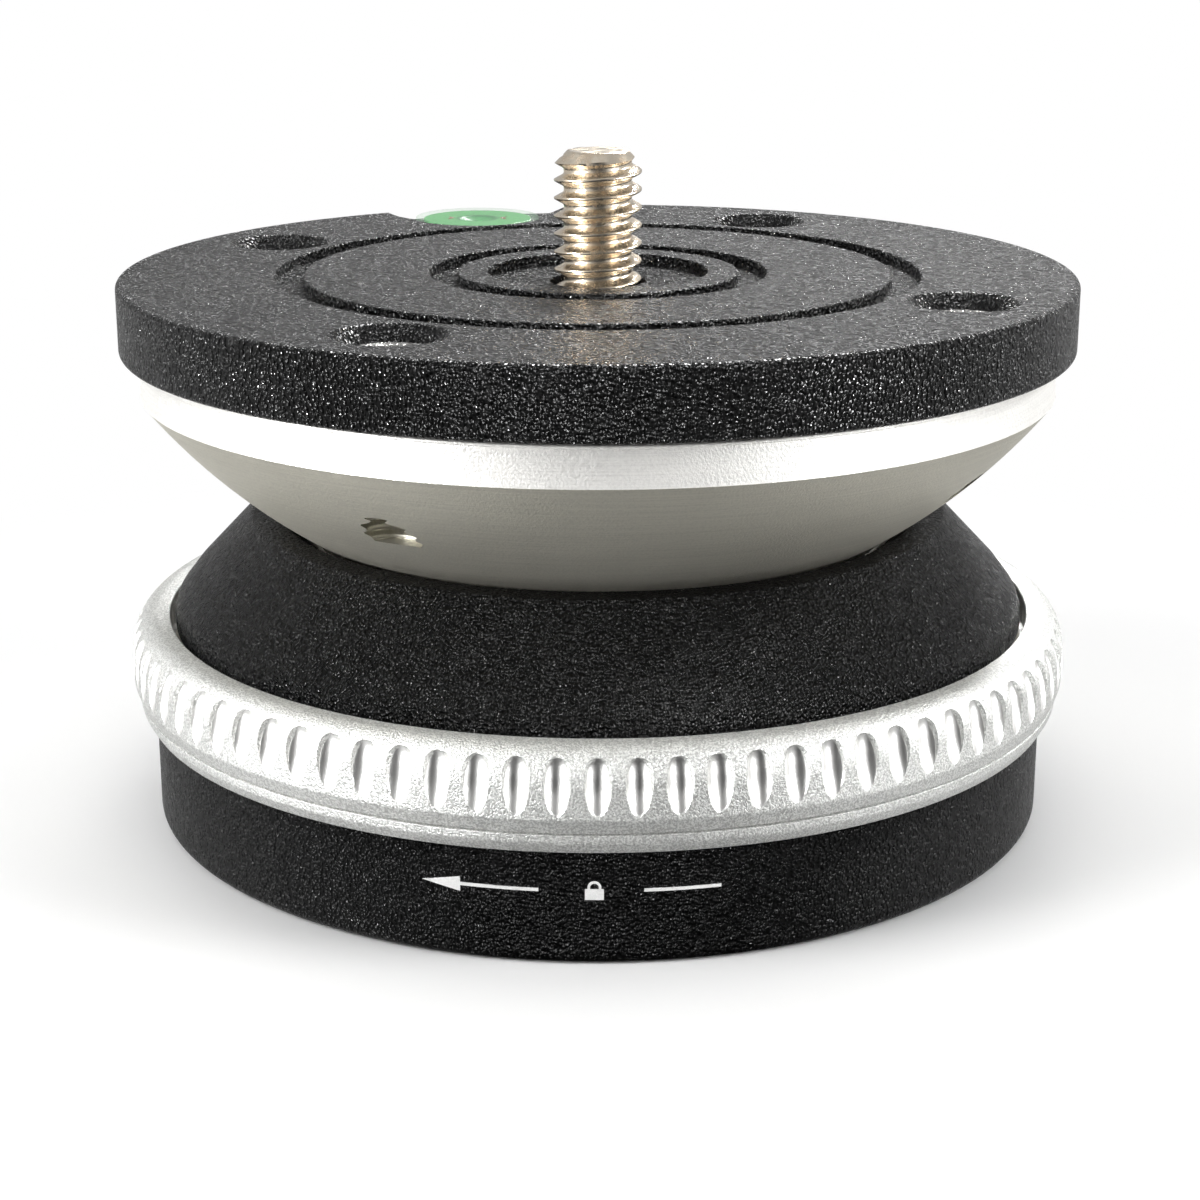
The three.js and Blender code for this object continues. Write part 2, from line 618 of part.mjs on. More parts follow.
const clampLinerInner = clampFaceRadius + CLEARANCE;
addPiece("neck_liner", sphericalLiner(dishRadius, NECK_LINER_INNER, NECK_LINER_OUTER * dishRadius
  / (dishRadius + LINER_THICKNESS)), liningPolymer);
addPiece("clamp_liner", sphericalLiner(clampLinerInner, boltClearingOffset(clampLinerInner),
  (cavityRadius - CAVITY_MARGIN) * clampLinerInner / SEAT_RADIUS), liningPolymer);

// Half ball with its band, cavity and tapped holes

const setScrewAngles = evenAngles(SET_SCREW_COUNT, SET_SCREW_FIRST_ANGLE);

function halfBall() {
  const shelf = plateBottom - SPIGOT_LENGTH - CLEARANCE;
  const top = plateBottom - CLEARANCE;
  const socket = spigotRadius + CLEARANCE;
  const ball = revolve([
    ...sphereArc(BALL_RADIUS, boltClearingOffset(BALL_RADIUS), BAND_RADIUS, 7), [BAND_RADIUS, top],
    [socket, top], [socket, shelf], [cavityRadius, shelf],
    ...sphereArc(SEAT_RADIUS, boltClearingOffset(SEAT_RADIUS), cavityRadius, 3).reverse(),
  ], BIG_ROUND);
  const bores = setScrewAngles.map((angle) => moveTo(revolve([
    [0, rimHeight], [SET_SCREW_BORE, rimHeight], [SET_SCREW_BORE, plateTop], [0, plateTop],
  ], HOLE_ROUND), SET_SCREW_CIRCLE, angle));
  return cutAll(ball, bores);
}

addPiece("half_ball", halfBall(), satinAluminium);

// Platform plate with its grooves, countersunk holes and the pocket of the level

const levelBottom = plateTop - LEVEL_HEIGHT;
const levelBackBottom = levelBottom - CLEARANCE - LEVEL_BACK_THICKNESS;

function plateTopOutline() {
  const floor = plateTop - GROOVE_SINK;
  const groove = (outer) => [
    [outer, plateTop], [outer, floor], [outer - GROOVE_WIDTH, floor], [outer - GROOVE_WIDTH, plateTop]];
  return [
    [PLATE_RADIUS, plateTop - PLATE_EDGE], [PLATE_RADIUS - PLATE_EDGE, plateTop],
    ...groove(OUTER_GROOVE_RADIUS), ...groove(INNER_GROOVE_RADIUS),
    [RECESS_RADIUS, plateTop], [RECESS_RADIUS, floor], [STUD_RADIUS + CLEARANCE, floor],
  ];
}

function platformPlate() {
  const flangeRoof = plateBottom + STUD_FLANGE_THICKNESS + CLEARANCE;
  const flangeHole = STUD_FLANGE_RADIUS + CLEARANCE;
  const plate = revolve([
    ...plateTopOutline(), [STUD_RADIUS + CLEARANCE, flangeRoof], [flangeHole, flangeRoof],
    [flangeHole, plateBottom], [cavityRadius, plateBottom], [cavityRadius, plateBottom - SPIGOT_LENGTH],
    [spigotRadius, plateBottom - SPIGOT_LENGTH], [spigotRadius, plateBottom],
    [PLATE_RADIUS - PLATE_EDGE, plateBottom], [PLATE_RADIUS, plateBottom + PLATE_EDGE],
  ], BIG_ROUND);
  const sink = COUNTERSINK_RADIUS - SET_SCREW_BORE;
  const holes = setScrewAngles.map((angle) => moveTo(revolve([
    [0, plateBottom - OVERRUN], [SET_SCREW_BORE, plateBottom - OVERRUN], [SET_SCREW_BORE, plateTop - sink],
    [COUNTERSINK_RADIUS, plateTop], [COUNTERSINK_RADIUS, plateTop + OVERRUN], [0, plateTop + OVERRUN],
  ], HOLE_ROUND), SET_SCREW_CIRCLE, angle));
  return cutAll(plate, [...holes, ...levelPocket()]);
}

// Round pocket for the level, in a shallow scallop that is open at the rim
function levelPocket() {
  const above = plateTop + OVERRUN;
  const floor = levelBackBottom - CLEARANCE;
  const radius = LEVEL_RADIUS + CLEARANCE;
  const ledge = plateTop - LEVEL_FLANGE_THICKNESS - CLEARANCE;
  const pocket = revolve([[0, floor], [radius, floor], [radius, above], [0, above]], SMALL_ROUND);
  const scallop = revolve([
    [0, ledge], [SCALLOP_RADIUS, ledge], [SCALLOP_RADIUS, above], [0, above],
  ], MID_ROUND);
  return [moveTo(pocket, LEVEL_CIRCLE, LEVEL_ANGLE), moveTo(scallop, SCALLOP_CIRCLE, LEVEL_ANGLE)];
}

function mountStud() {
  const flangeTop = plateBottom + STUD_FLANGE_THICKNESS;
  const top = plateTop + STUD_HEIGHT;
  return revolve([
    [0, plateBottom], [STUD_FLANGE_RADIUS, plateBottom], [STUD_FLANGE_RADIUS, flangeTop],
    [STUD_RADIUS, flangeTop], [STUD_RADIUS, top - STUD_CHAMFER], [STUD_RADIUS - STUD_CHAMFER, top], [0, top],
  ], SMALL_ROUND);
}

function setScrew() {
  const top = plateTop - SET_SCREW_DEPTH;
  const radius = SET_SCREW_BORE - CLEARANCE;
  const bottom = top - SET_SCREW_LENGTH;
  return revolve([
    [0, bottom], [radius, bottom], [radius, top - SET_SCREW_POINT], [radius - SET_SCREW_POINT, top], [0, top],
  ], HOLE_ROUND);
}

addPiece("platform_plate", platformPlate(), blackCoat);
addPiece("mount_stud", mountStud(), nickelSteel);
setScrewAngles.forEach((angle, index) => {
  addPiece(`set_screw_${index + 1}`, moveTo(setScrew(), SET_SCREW_CIRCLE, angle), blackSteel);
});

// Spirit level: clear body over a back plate, with the fluid between them

function levelBack() {
  const top = levelBackBottom + LEVEL_BACK_THICKNESS;
  return revolve([
    [0, levelBackBottom], [LEVEL_RADIUS, levelBackBottom], [LEVEL_RADIUS, top], [0, top],
  ], SMALL_ROUND);
}

function levelBody() {
  const inner = LEVEL_RADIUS - LEVEL_WALL;
  const flangeBottom = plateTop - LEVEL_FLANGE_THICKNESS;
  return revolve([
    [inner, levelBottom], [LEVEL_RADIUS, levelBottom], [LEVEL_RADIUS, flangeBottom],
    [LEVEL_FLANGE_RADIUS, flangeBottom], [LEVEL_FLANGE_RADIUS, plateTop], [0, plateTop],
    [0, plateTop - LEVEL_WALL], [inner, plateTop - LEVEL_WALL],
  ], SMALL_ROUND);
}

function levelFill() {
  const radius = LEVEL_RADIUS - LEVEL_WALL - CLEARANCE;
  const top = plateTop - LEVEL_WALL - CLEARANCE;
  return revolve([[0, levelBottom], [radius, levelBottom], [radius, top], [0, top]], SMALL_ROUND);
}

addPiece("level_back", moveTo(levelBack(), LEVEL_CIRCLE, LEVEL_ANGLE), liningPolymer);
addPiece("level_body", moveTo(levelBody(), LEVEL_CIRCLE, LEVEL_ANGLE), clearAcrylic);
addPiece("level_fluid", moveTo(levelFill(), LEVEL_CIRCLE, LEVEL_ANGLE), levelFluid);

export default head;
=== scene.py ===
"""Looks of a tripod levelling head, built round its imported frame.

A black plate on a silver half ball tilts in a black neck, and a fluted silver ring above the black foot
locks it. Sizes here are millimetres and become metres where a mesh is written. Angles are degrees,
counter-clockwise from +X seen from above, and the head's front faces -Y, at 270 degrees.
"""
import json
import logging
import math
from dataclasses import dataclass
from enum import Enum
from typing import Sequence

import bmesh
import bpy
import numpy as np
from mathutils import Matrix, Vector


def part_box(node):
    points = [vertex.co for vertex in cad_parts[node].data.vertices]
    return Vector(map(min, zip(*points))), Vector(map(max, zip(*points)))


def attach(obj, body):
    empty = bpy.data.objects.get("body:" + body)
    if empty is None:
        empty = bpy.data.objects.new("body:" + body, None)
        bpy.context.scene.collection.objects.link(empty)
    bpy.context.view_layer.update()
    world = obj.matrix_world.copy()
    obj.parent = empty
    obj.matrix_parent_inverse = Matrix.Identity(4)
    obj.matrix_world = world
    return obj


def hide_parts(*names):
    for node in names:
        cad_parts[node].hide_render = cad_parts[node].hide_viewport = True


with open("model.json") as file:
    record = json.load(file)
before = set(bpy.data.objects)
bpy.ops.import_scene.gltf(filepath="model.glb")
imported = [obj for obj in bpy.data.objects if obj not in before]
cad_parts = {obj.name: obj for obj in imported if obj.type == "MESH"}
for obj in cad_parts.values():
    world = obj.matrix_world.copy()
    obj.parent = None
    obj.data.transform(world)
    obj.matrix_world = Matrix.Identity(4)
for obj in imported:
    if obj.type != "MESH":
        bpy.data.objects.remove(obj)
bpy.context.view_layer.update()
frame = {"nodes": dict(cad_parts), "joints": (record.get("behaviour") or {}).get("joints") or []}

LOG = logging.getLogger("levelling_head")
MM = 0.001
WELD = 1e-7
FRONT = 270.0
COLUMNS = 288
SMALL_COLUMNS = 96
PIVOT = 1000 * next(joint["pos_m"][2] for joint in frame["joints"] if joint["name"] == "tilt")

# Sizes that more than one piece or finish follows. A cutter stands out of what it cuts by the overrun.
CLEARANCE = 0.3
OVERRUN = 1.0
BALL_RADIUS = 41.35
BOLT_HOLE = 2.8
BUBBLE_RADIUS = 1.6
FLUTES = 84
RING_BORE = 28.5
SCREW_CIRCLE = 27.6
SCREW_FIRST_ANGLE = 62.0
SCREW_PITCH = 0.7

Piece = bpy.types.Object
Socket = bpy.types.NodeSocket
Pair = tuple[float, float]
Place = Pair
Triple = tuple[float, float, float]
Colour = Triple


class Body(Enum):
    """Bodies of the frame that the pieces ride on."""

    BASE = "base"
    RING = "ring"
    PLATFORM = "platform"


class Slot(Enum):
    """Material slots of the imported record."""

    BLACK_COAT = "black_coat"
    NECK_COAT = "neck_coat"
    SATIN = "satin_aluminium"
    BLASTED = "blasted_aluminium"
    STUD = "stud_metal"
    STEEL = "plain_steel"
    SPRING = "spring_steel"
    BLACK_STEEL = "black_steel"
    POLYMER = "slide_polymer"
    CLEAR = "level_clear"
    GREEN = "level_green"
    WHITE = "level_white"


@dataclass(frozen=True)
class Span:
    """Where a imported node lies: its middle, radius and heights in millimetres."""

    x: float
    y: float
    radius: float
    bottom: float
    top: float

    @classmethod
    def of(cls, node: str) -> "Span":
        """Read a node's place from the frame.

        Args:
            node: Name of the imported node.

        Returns:
            The node's place at rest.
        """
        low, high = (np.array(corner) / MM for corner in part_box(node))
        middle = (low + high) / 2
        return cls(*map(float, (*middle[:2], (high[0] - low[0]) / 2, low[2], high[2])))

    @property
    def centre(self) -> Place:
        """Give the plan place of the node's middle."""
        return self.x, self.y

    @property
    def middle(self) -> float:
        """Give the height of the node's middle."""
        return (self.bottom + self.top) / 2


def radians(angle: float | np.ndarray) -> float | np.ndarray:
    """Turn degrees into radians."""
    return angle * (math.pi / 180)


def even_angles(count: int, first: float) -> list[float]:
    """List evenly spaced angles round the head, in degrees."""
    return [first + 360 * index / count for index in range(count)]


def on_circle(radius: float, angle: float) -> Place:
    """Give the plan place at a radius and an angle in degrees."""
    return radius * math.cos(radians(angle)), radius * math.sin(radians(angle))


def shaded(colour: Colour, share: float) -> Colour:
    """Darken a colour to a share of its brightness."""
    return tuple(share * part for part in colour)


def rounded(corners: Sequence[tuple[float, ...]], steps: int = 5) -> np.ndarray:
    """Round the corners of a closed outline with arcs.

    Each arc touches both sides of its corner: its centre lies on the corner's bisector, and its points turn
    evenly from one touching point to the other.

    Args:
        corners: Radius, height and, where the corner is round, its fillet.
        steps: Spans in each arc.

    Returns:
        The outline as rows of radius and height.
    """
    places = np.array([corner[:2] for corner in corners], dtype=float)
    parts = []
    for index, corner in enumerate(corners):
        here = places[index]
        if len(corner) < 3:
            parts.append(here[None, :])
            continue
        sides = [places[index - 1] - here, places[(index + 1) % len(corners)] - here]
        back, ahead = (side / np.linalg.norm(side) for side in sides)
        half = math.acos(float(np.clip(back @ ahead, -1, 1))) / 2
        bisector = (back + ahead) / np.linalg.norm(back + ahead)
        centre = here + bisector * corner[2] / math.sin(half)
        reach = corner[2] / math.tan(half)
        start, end = here + back * reach - centre, here + ahead * reach - centre
        turn = math.pi - 2 * half
        share = np.linspace(0, 1, steps + 1)[:, None]
        arc = np.sin((1 - share) * turn) * start + np.sin(share * turn) * end
        parts.append(centre + arc / math.sin(turn))
    return np.concatenate(parts)


def sphere_arc(radius: float, from_offset: float, to_offset: float, steps: int) -> np.ndarray:
    """Follow a sphere about the tilt pivot from one distance off the axis to another.

    The offset is the radius times the sine of the angle off the axis, and the height lies below the pivot by
    the radius times its cosine.

    Args:
        radius: Radius of the sphere.
        from_offset: Distance off the axis where the arc starts.
        to_offset: Distance off the axis where it ends.
        steps: Spans along the arc.

    Returns:
        Rows of radius and height.
    """
    angle = np.linspace(math.asin(from_offset / radius), math.asin(to_offset / radius), steps + 1)
    return np.stack([radius * np.sin(angle), PIVOT - radius * np.cos(angle)], axis=-1)


def anticlockwise(outline: np.ndarray) -> np.ndarray:
    """Order an outline so that its turned surface faces outwards, by the sign of its shoelace area.

    Args:
        outline: Rows of radius and height.

    Returns:
        The rows, in their order or turned round.
    """
    ahead = np.roll(outline, -1, axis=0)
    area = float(np.sum(outline[:, 0] * ahead[:, 1] - ahead[:, 0] * outline[:, 1]))
    return outline if area > 0 else outline[::-1]


def grid_faces(rows: int, columns: int, close_rows: bool, close_columns: bool) -> np.ndarray:
    """Number the quads of a grid whose points are stored row by row.

    Args:
        rows: Rows of points.
        columns: Points in a row.
        close_rows: Whether the last row joins the first.
        close_columns: Whether each row's last point joins its first.

    Returns:
        Four point numbers for each quad.
    """
    row = np.arange(rows if close_rows else rows - 1)[:, None]
    column = np.arange(columns if close_columns else columns - 1)[None, :]
    after, beside = (row + 1) % rows, (column + 1) % columns
    corners = [line * columns + place for line, place in ((row, column), (row, beside), (after, beside),
                                                          (after, column))]
    return np.stack(np.broadcast_arrays(*corners), axis=-1).reshape(-1, 4)


def add_mesh(name: str, points: np.ndarray, faces: np.ndarray) -> Piece:
    """Write points and quads into a new object and weld the points that coincide.

    Args:
        name: Name of the object.
        points: Points in millimetres, in any grid shape.
        faces: Four point numbers for each face.

    Returns:
        The new object, at the origin.
    """
    mesh = bpy.data.meshes.new(name)
    places = np.ascontiguousarray(points.reshape(-1, 3) * MM, dtype=np.float32)
    mesh.vertices.add(len(places))
    mesh.vertices.foreach_set("co", places.ravel())
    mesh.loops.add(faces.size)
    mesh.loops.foreach_set("vertex_index", np.ascontiguousarray(faces, dtype=np.int32).ravel())
    mesh.polygons.add(len(faces))
    mesh.polygons.foreach_set("loop_start", np.arange(0, faces.size, faces.shape[1], dtype=np.int32))
    mesh.update(calc_edges=True)
    welded = bmesh.new()
    welded.from_mesh(mesh)
    bmesh.ops.remove_doubles(welded, verts=welded.verts, dist=WELD)
    bmesh.ops.dissolve_degenerate(welded, edges=welded.edges, dist=WELD)
    welded.to_mesh(mesh)
    welded.free()
    piece = bpy.data.objects.new(name, mesh)
    bpy.context.scene.collection.objects.link(piece)
    return piece


def turned(name: str, outline: np.ndarray, columns: int = COLUMNS, centre: Place = (0, 0)) -> Piece:
    """Turn an outline round an upright axis.

    A point at a radius and height of the outline goes to that radius times the cosine and sine of the angle,
    and keeps its height. An outline that starts and ends on the axis closes there.

    Args:
        name: Name of the object.
        outline: Rows of radius and height.
        columns: Points round the axis.
        centre: Plan place of the axis.

    Returns:
        The closed solid.
    """
    outline = anticlockwise(outline)
    on_axis = outline[0, 0] == 0 and outline[-1, 0] == 0
    angle = np.linspace(0, 2 * np.pi, columns, endpoint=False)
    points = round_axis(outline[:, :1], angle, outline[:, 1:]) + (*centre, 0)
    return add_mesh(name, points, grid_faces(len(outline), columns, not on_axis, True))


@dataclass(frozen=True)
class Thread:
    """A screw thread's sizes in millimetres."""

    pitch: float
    crest: float
    root: float
    end: float

    PHASE_SHARES = (0, 0.06, 0.13, 0.18, 0.3, 0.42, 0.455, 0.5, 0.545, 0.58, 0.7, 0.82, 0.87, 0.94)
    RIDGE_SHARES = (0, 0, 0.03, 0.12, 0.52, 0.91, 0.985, 1, 0.985, 0.91, 0.52, 0.12, 0.03, 0)
    SPARE_THREADS = 4
    CLOSING_SHARE = 0.9

    def wind(self, name: str, bottom: float, top: float, centre: Place, columns: int) -> Piece:
        """Wind the thread round an upright axis as one closed solid.

        A row follows one place on the ridge, so its height climbs by a pitch in each turn, and it meets the
        row one thread higher after the turn. Past either end the height stays at the end, and the radius
        falls to nothing, which closes the flat end. Near an end the radius is at most the end's radius plus
        the distance from the end, as on a chamfer.

        Args:
            name: Name of the object.
            bottom: Height of the lower end.
            top: Height of the upper end.
            centre: Plan place of the axis.
            columns: Points in a turn.

        Returns:
            The threaded solid.
        """
        phase = np.array(self.PHASE_SHARES)
        ridge = self.root + (self.crest - self.root) * np.array(self.RIDGE_SHARES)
        threads = math.ceil((top - bottom) / self.pitch) + self.SPARE_THREADS
        turn = np.linspace(0, 1, columns + 1)
        row_phase = (np.arange(threads)[:, None] + phase).ravel()[:, None]
        climb = bottom + self.pitch * (row_phase - self.SPARE_THREADS / 2 + turn)
        beyond = np.maximum(np.maximum(bottom - climb, climb - top), 0)
        inside = np.maximum(np.minimum(climb - bottom, top - climb), 0)
        radius = np.minimum(np.tile(ridge, threads)[:, None], self.end + inside)
        closing = np.clip(1 - beyond / (self.CLOSING_SHARE * self.pitch), 0, 1)
        radius = np.where(beyond > 0, self.end * closing, radius)
        points = round_axis(radius, 2 * np.pi * turn, np.clip(climb, bottom, top)) + (*centre, 0)
        return add_mesh(name, points, grid_faces(len(row_phase), columns + 1, False, False))


def plug(name: str, rows: Sequence[Pair], place: Place, columns: int = SMALL_COLUMNS,
         tip: float = 0.0) -> Piece:
    """Turn a solid that is closed on its axis, level below and flat or coned above.

    Args:
        name: Name of the object.
        rows: Radius and height of its side, from below.
        place: Plan place of the axis.
        columns: Points round the axis.
        tip: Height of the cone on its upper end.

    Returns:
        The solid.
    """
    return turned(name, np.array([(0, rows[0][1]), *rows, (0, rows[-1][1] + tip)]), columns, place)


def disc(name: str, radius: float, bottom: float, top: float, edge: float, place: Place = (0, 0)) -> Piece:
    """Turn a flat disc with rounded edges."""
    outline = rounded([(0, bottom), (radius, bottom, edge), (radius, top, edge), (0, top)])
    return turned(name, outline, SMALL_COLUMNS, place)


def hexagon_socket(screw: Span, radius: float, depth: float, tip: float) -> Piece:
    """Shape the cutter of a hexagon socket, sunk from below into a screw and coned at its end."""
    rows = [(radius, screw.bottom - OVERRUN), (radius, screw.bottom + depth)]
    return plug("socket", rows, screw.centre, 6, tip)


def foot_screws() -> dict[int, Span]:
    """Read the places of the four foot screws, by their numbers."""
    return {index: Span.of(f"foot_screw_{index}") for index in range(1, 5)}


def face_outwards(piece: Piece) -> Piece:
    """Turn a closed piece's faces outwards.

    Args:
        piece: The closed piece.

    Returns:
        The same piece.
    """
    mesh = bmesh.new()
    mesh.from_mesh(piece.data)
    bmesh.ops.recalc_face_normals(mesh, faces=mesh.faces)
    mesh.to_mesh(piece.data)
    mesh.free()
    return piece


def prism(name: str, plan: np.ndarray, bottom: float, top: float) -> Piece:
    """Stand a prism on a plan of four points.

    Args:
        name: Name of the prism.
        plan: Its four corners, across and along.
        bottom: Height of its underside.
        top: Height of its top.

    Returns:
        The prism.
    """
    points = np.concatenate([np.column_stack([plan, np.full(4, height)]) for height in (bottom, top)])
    faces = np.array([[0, 3, 2, 1], [4, 5, 6, 7], [0, 1, 5, 4], [1, 2, 6, 5], [2, 3, 7, 6], [3, 0, 4, 7]])
    return face_outwards(add_mesh(name, points, faces))


def swept(name: str, points: np.ndarray) -> Piece:
    """Close a bar whose sections have four corners, with a flat cap at each end.

    Args:
        name: Name of the object.
        points: Points in millimetres, section by section and corner by corner.

    Returns:
        The bar.
    """
    last = 4 * len(points) - 4
    caps = np.array([[3, 2, 1, 0], [last, last + 1, last + 2, last + 3]])
    faces = np.concatenate([grid_faces(len(points), 4, False, True), caps])
    return face_outwards(add_mesh(name, points, faces))


def round_axis(radius: float | np.ndarray, angle: np.ndarray, height: float | np.ndarray) -> np.ndarray:
    """Give points at a radius, an angle in radians and a height: radius times cosine and sine, and height."""
    return np.stack(np.broadcast_arrays(radius * np.cos(angle), radius * np.sin(angle), height), axis=-1)


def strip_on_wall(name: str, radius: float, thickness: float, side: np.ndarray, other: np.ndarray) -> Piece:
    """Lay a thin closed strip on a round wall, between two lines.

    Each line is a row of angle and height. A point of it goes to the wall's radius, at that angle, and the
    strip has an outer and a sunk copy of both lines.

    Args:
        name: Name of the object.
        radius: Radius of the wall.
        thickness: How far the strip stands out, and is sunk in.
        side: Angle in degrees and height of the first line's points.
        other: The same for the second line.

    Returns:
        The strip.
    """
    rims = ((side, thickness), (other, thickness), (other, -thickness), (side, -thickness))
    return swept(name, np.stack([round_axis(radius + out, radians(line[:, 0]), line[:, 1])
                                 for line, out in rims], axis=1))


def radial_block(name: str, inner: float, outer: float, width: float, bottom: float, top: float,
                 angle: float) -> Piece:
    """Make a block that runs outwards along a radius.

    Args:
        name: Name of the block.
        inner: Distance off the axis where it starts.
        outer: Distance where it ends.
        width: Width across the radius.
        bottom: Height of its underside.
        top: Height of its top.
        angle: Direction of the radius in degrees.

    Returns:
        The block.
    """
    plan = np.array([[inner, -width / 2], [outer, -width / 2], [outer, width / 2], [inner, width / 2]])
    across, along = on_circle(1, angle)
    return prism(name, plan @ np.array([[across, along], [-along, across]]), bottom, top)


def settle(piece: Piece) -> None:
    """Work the piece's modifiers into its mesh.

    Args:
        piece: The piece, whose modifiers are then gone.
    """
    depsgraph = bpy.context.evaluated_depsgraph_get()
    mesh = bpy.data.meshes.new_from_object(piece.evaluated_get(depsgraph), depsgraph=depsgraph)
    piece.modifiers.clear()
    old, piece.data = piece.data, mesh
    bpy.data.meshes.remove(old)
    mesh.name = piece.name


def work_in(piece: Piece, operation: str, others: Sequence[Piece]) -> None:
    """Join other solids to a piece, or take their space out of it, and delete them.

    Args:
        piece: The closed solid that is changed.
        operation: UNION or DIFFERENCE.
        others: Closed solids that are worked in one after another.
    """
    for other in others:
        modifier = piece.modifiers.new(other.name, "BOOLEAN")
        modifier.operation, modifier.solver, modifier.object = operation, "MANIFOLD", other
    settle(piece)
    for other in others:
        bpy.data.meshes.remove(other.data)


def carve(piece: Piece, cutters: Sequence[Piece]) -> None:
    """Take the cutters' space out of a piece and delete the cutters."""
    work_in(piece, "DIFFERENCE", cutters)


def smooth(piece: Piece, sharp_angle: float) -> None:
    """Shade a piece smoothly between edges that turn by more than an angle, flat faces first.

    Args:
        piece: The shaped piece.
        sharp_angle: Turn in degrees past which an edge stays sharp.
    """
    piece.data.shade_smooth()
    piece.data.set_sharp_from_angle(angle=radians(sharp_angle))
    modifier = piece.modifiers.new("flat faces first", "WEIGHTED_NORMAL")
    modifier.keep_sharp = True
    settle(piece)


class Nodes:
    """A node tree whose nodes are added one at a time."""

    def __init__(self, tree: bpy.types.NodeTree) -> None:
        """Start with an empty tree."""
        self.tree = tree
        self.tree.nodes.clear()

    def add(self, kind: str, **settings: object) -> bpy.types.Node:
        """Add a node and set its properties.

        Args:
            kind: Kind of node.
            settings: Its properties.

        Returns:
            The node.
        """
        node = self.tree.nodes.new(kind)
        for key, value in settings.items():
            setattr(node, key, value)
        return node

    def link(self, source: Socket, target: Socket) -> None:
        """Join an output to an input."""
        self.tree.links.new(source, target)

    def feed(self, node: bpy.types.Node, name: str | int, value: Socket | float) -> None:
        """Set a node's input to a number or join it to a socket.

        Args:
            node: The node.
            name: Name or number of its input.
            value: The number, or the output to join.
        """
        if isinstance(value, bpy.types.NodeSocket):
            self.link(value, node.inputs[name])
        else:
            node.inputs[name].default_value = value

    def maths(self, operation: str, *values: Socket | float) -> Socket:
        """Combine numbers with one operation.

        Args:
            operation: Name of the operation.
            values: The numbers, in order.

        Returns:
            The result.
        """
        node = self.add("ShaderNodeMath", operation=operation)
        for index, value in enumerate(values):
            self.feed(node, index, value)
        return node.outputs[0]

    def spread(self, value: Socket, low: float, high: float, to_low: float = 0.0,
               to_high: float = 1.0) -> Socket:
        """Map a range of numbers softly to another and hold it there.

        Args:
            value: The number.
            low: Where its range starts.
            high: Where it ends.
            to_low: What the start becomes.
            to_high: What the end becomes.

        Returns:
            The number on its new range.
        """
        node = self.add("ShaderNodeMapRange", interpolation_type="SMOOTHSTEP")
        for index, number in enumerate((value, low, high, to_low, to_high)):
            self.feed(node, index, number)
        return node.outputs[0]

    def vary(self, share: Socket, middle: float, less: float, more: float) -> Socket:
        """Let soft noise take a number from a little less than its middle to a little more."""
        return self.spread(share, 0.3, 0.7, middle - less, middle + more)

    def far(self, first: Socket, second: Socket) -> Socket:
        """Give the root of the sum of two squares."""
        squares = [self.maths("POWER", part, 2.0) for part in (first, second)]
        return self.maths("SQRT", self.maths("ADD", *squares))

    def pick(self, share: Socket, first: Socket | float, second: Socket | float) -> Socket:
        """Go from one number to another with a share.

        Args:
            share: How far to go, from 0 to 1.
            first: The number at 0.
            second: The number at 1.

        Returns:
            The number between.
        """
        node = self.add("ShaderNodeMix", data_type="FLOAT")
        for name, value in (("Factor", share), ("A", first), ("B", second)):
            self.feed(node, name, value)
        return node.outputs["Result"]

    def split(self, place: Socket) -> tuple[Socket, Socket, Socket]:
        """Split a place into its three parts.

        Args:
            place: The place.

        Returns:
            Its X, Y and Z.
        """
        parts = self.add("ShaderNodeSeparateXYZ")
        self.link(place, parts.inputs[0])
        return tuple(parts.outputs)


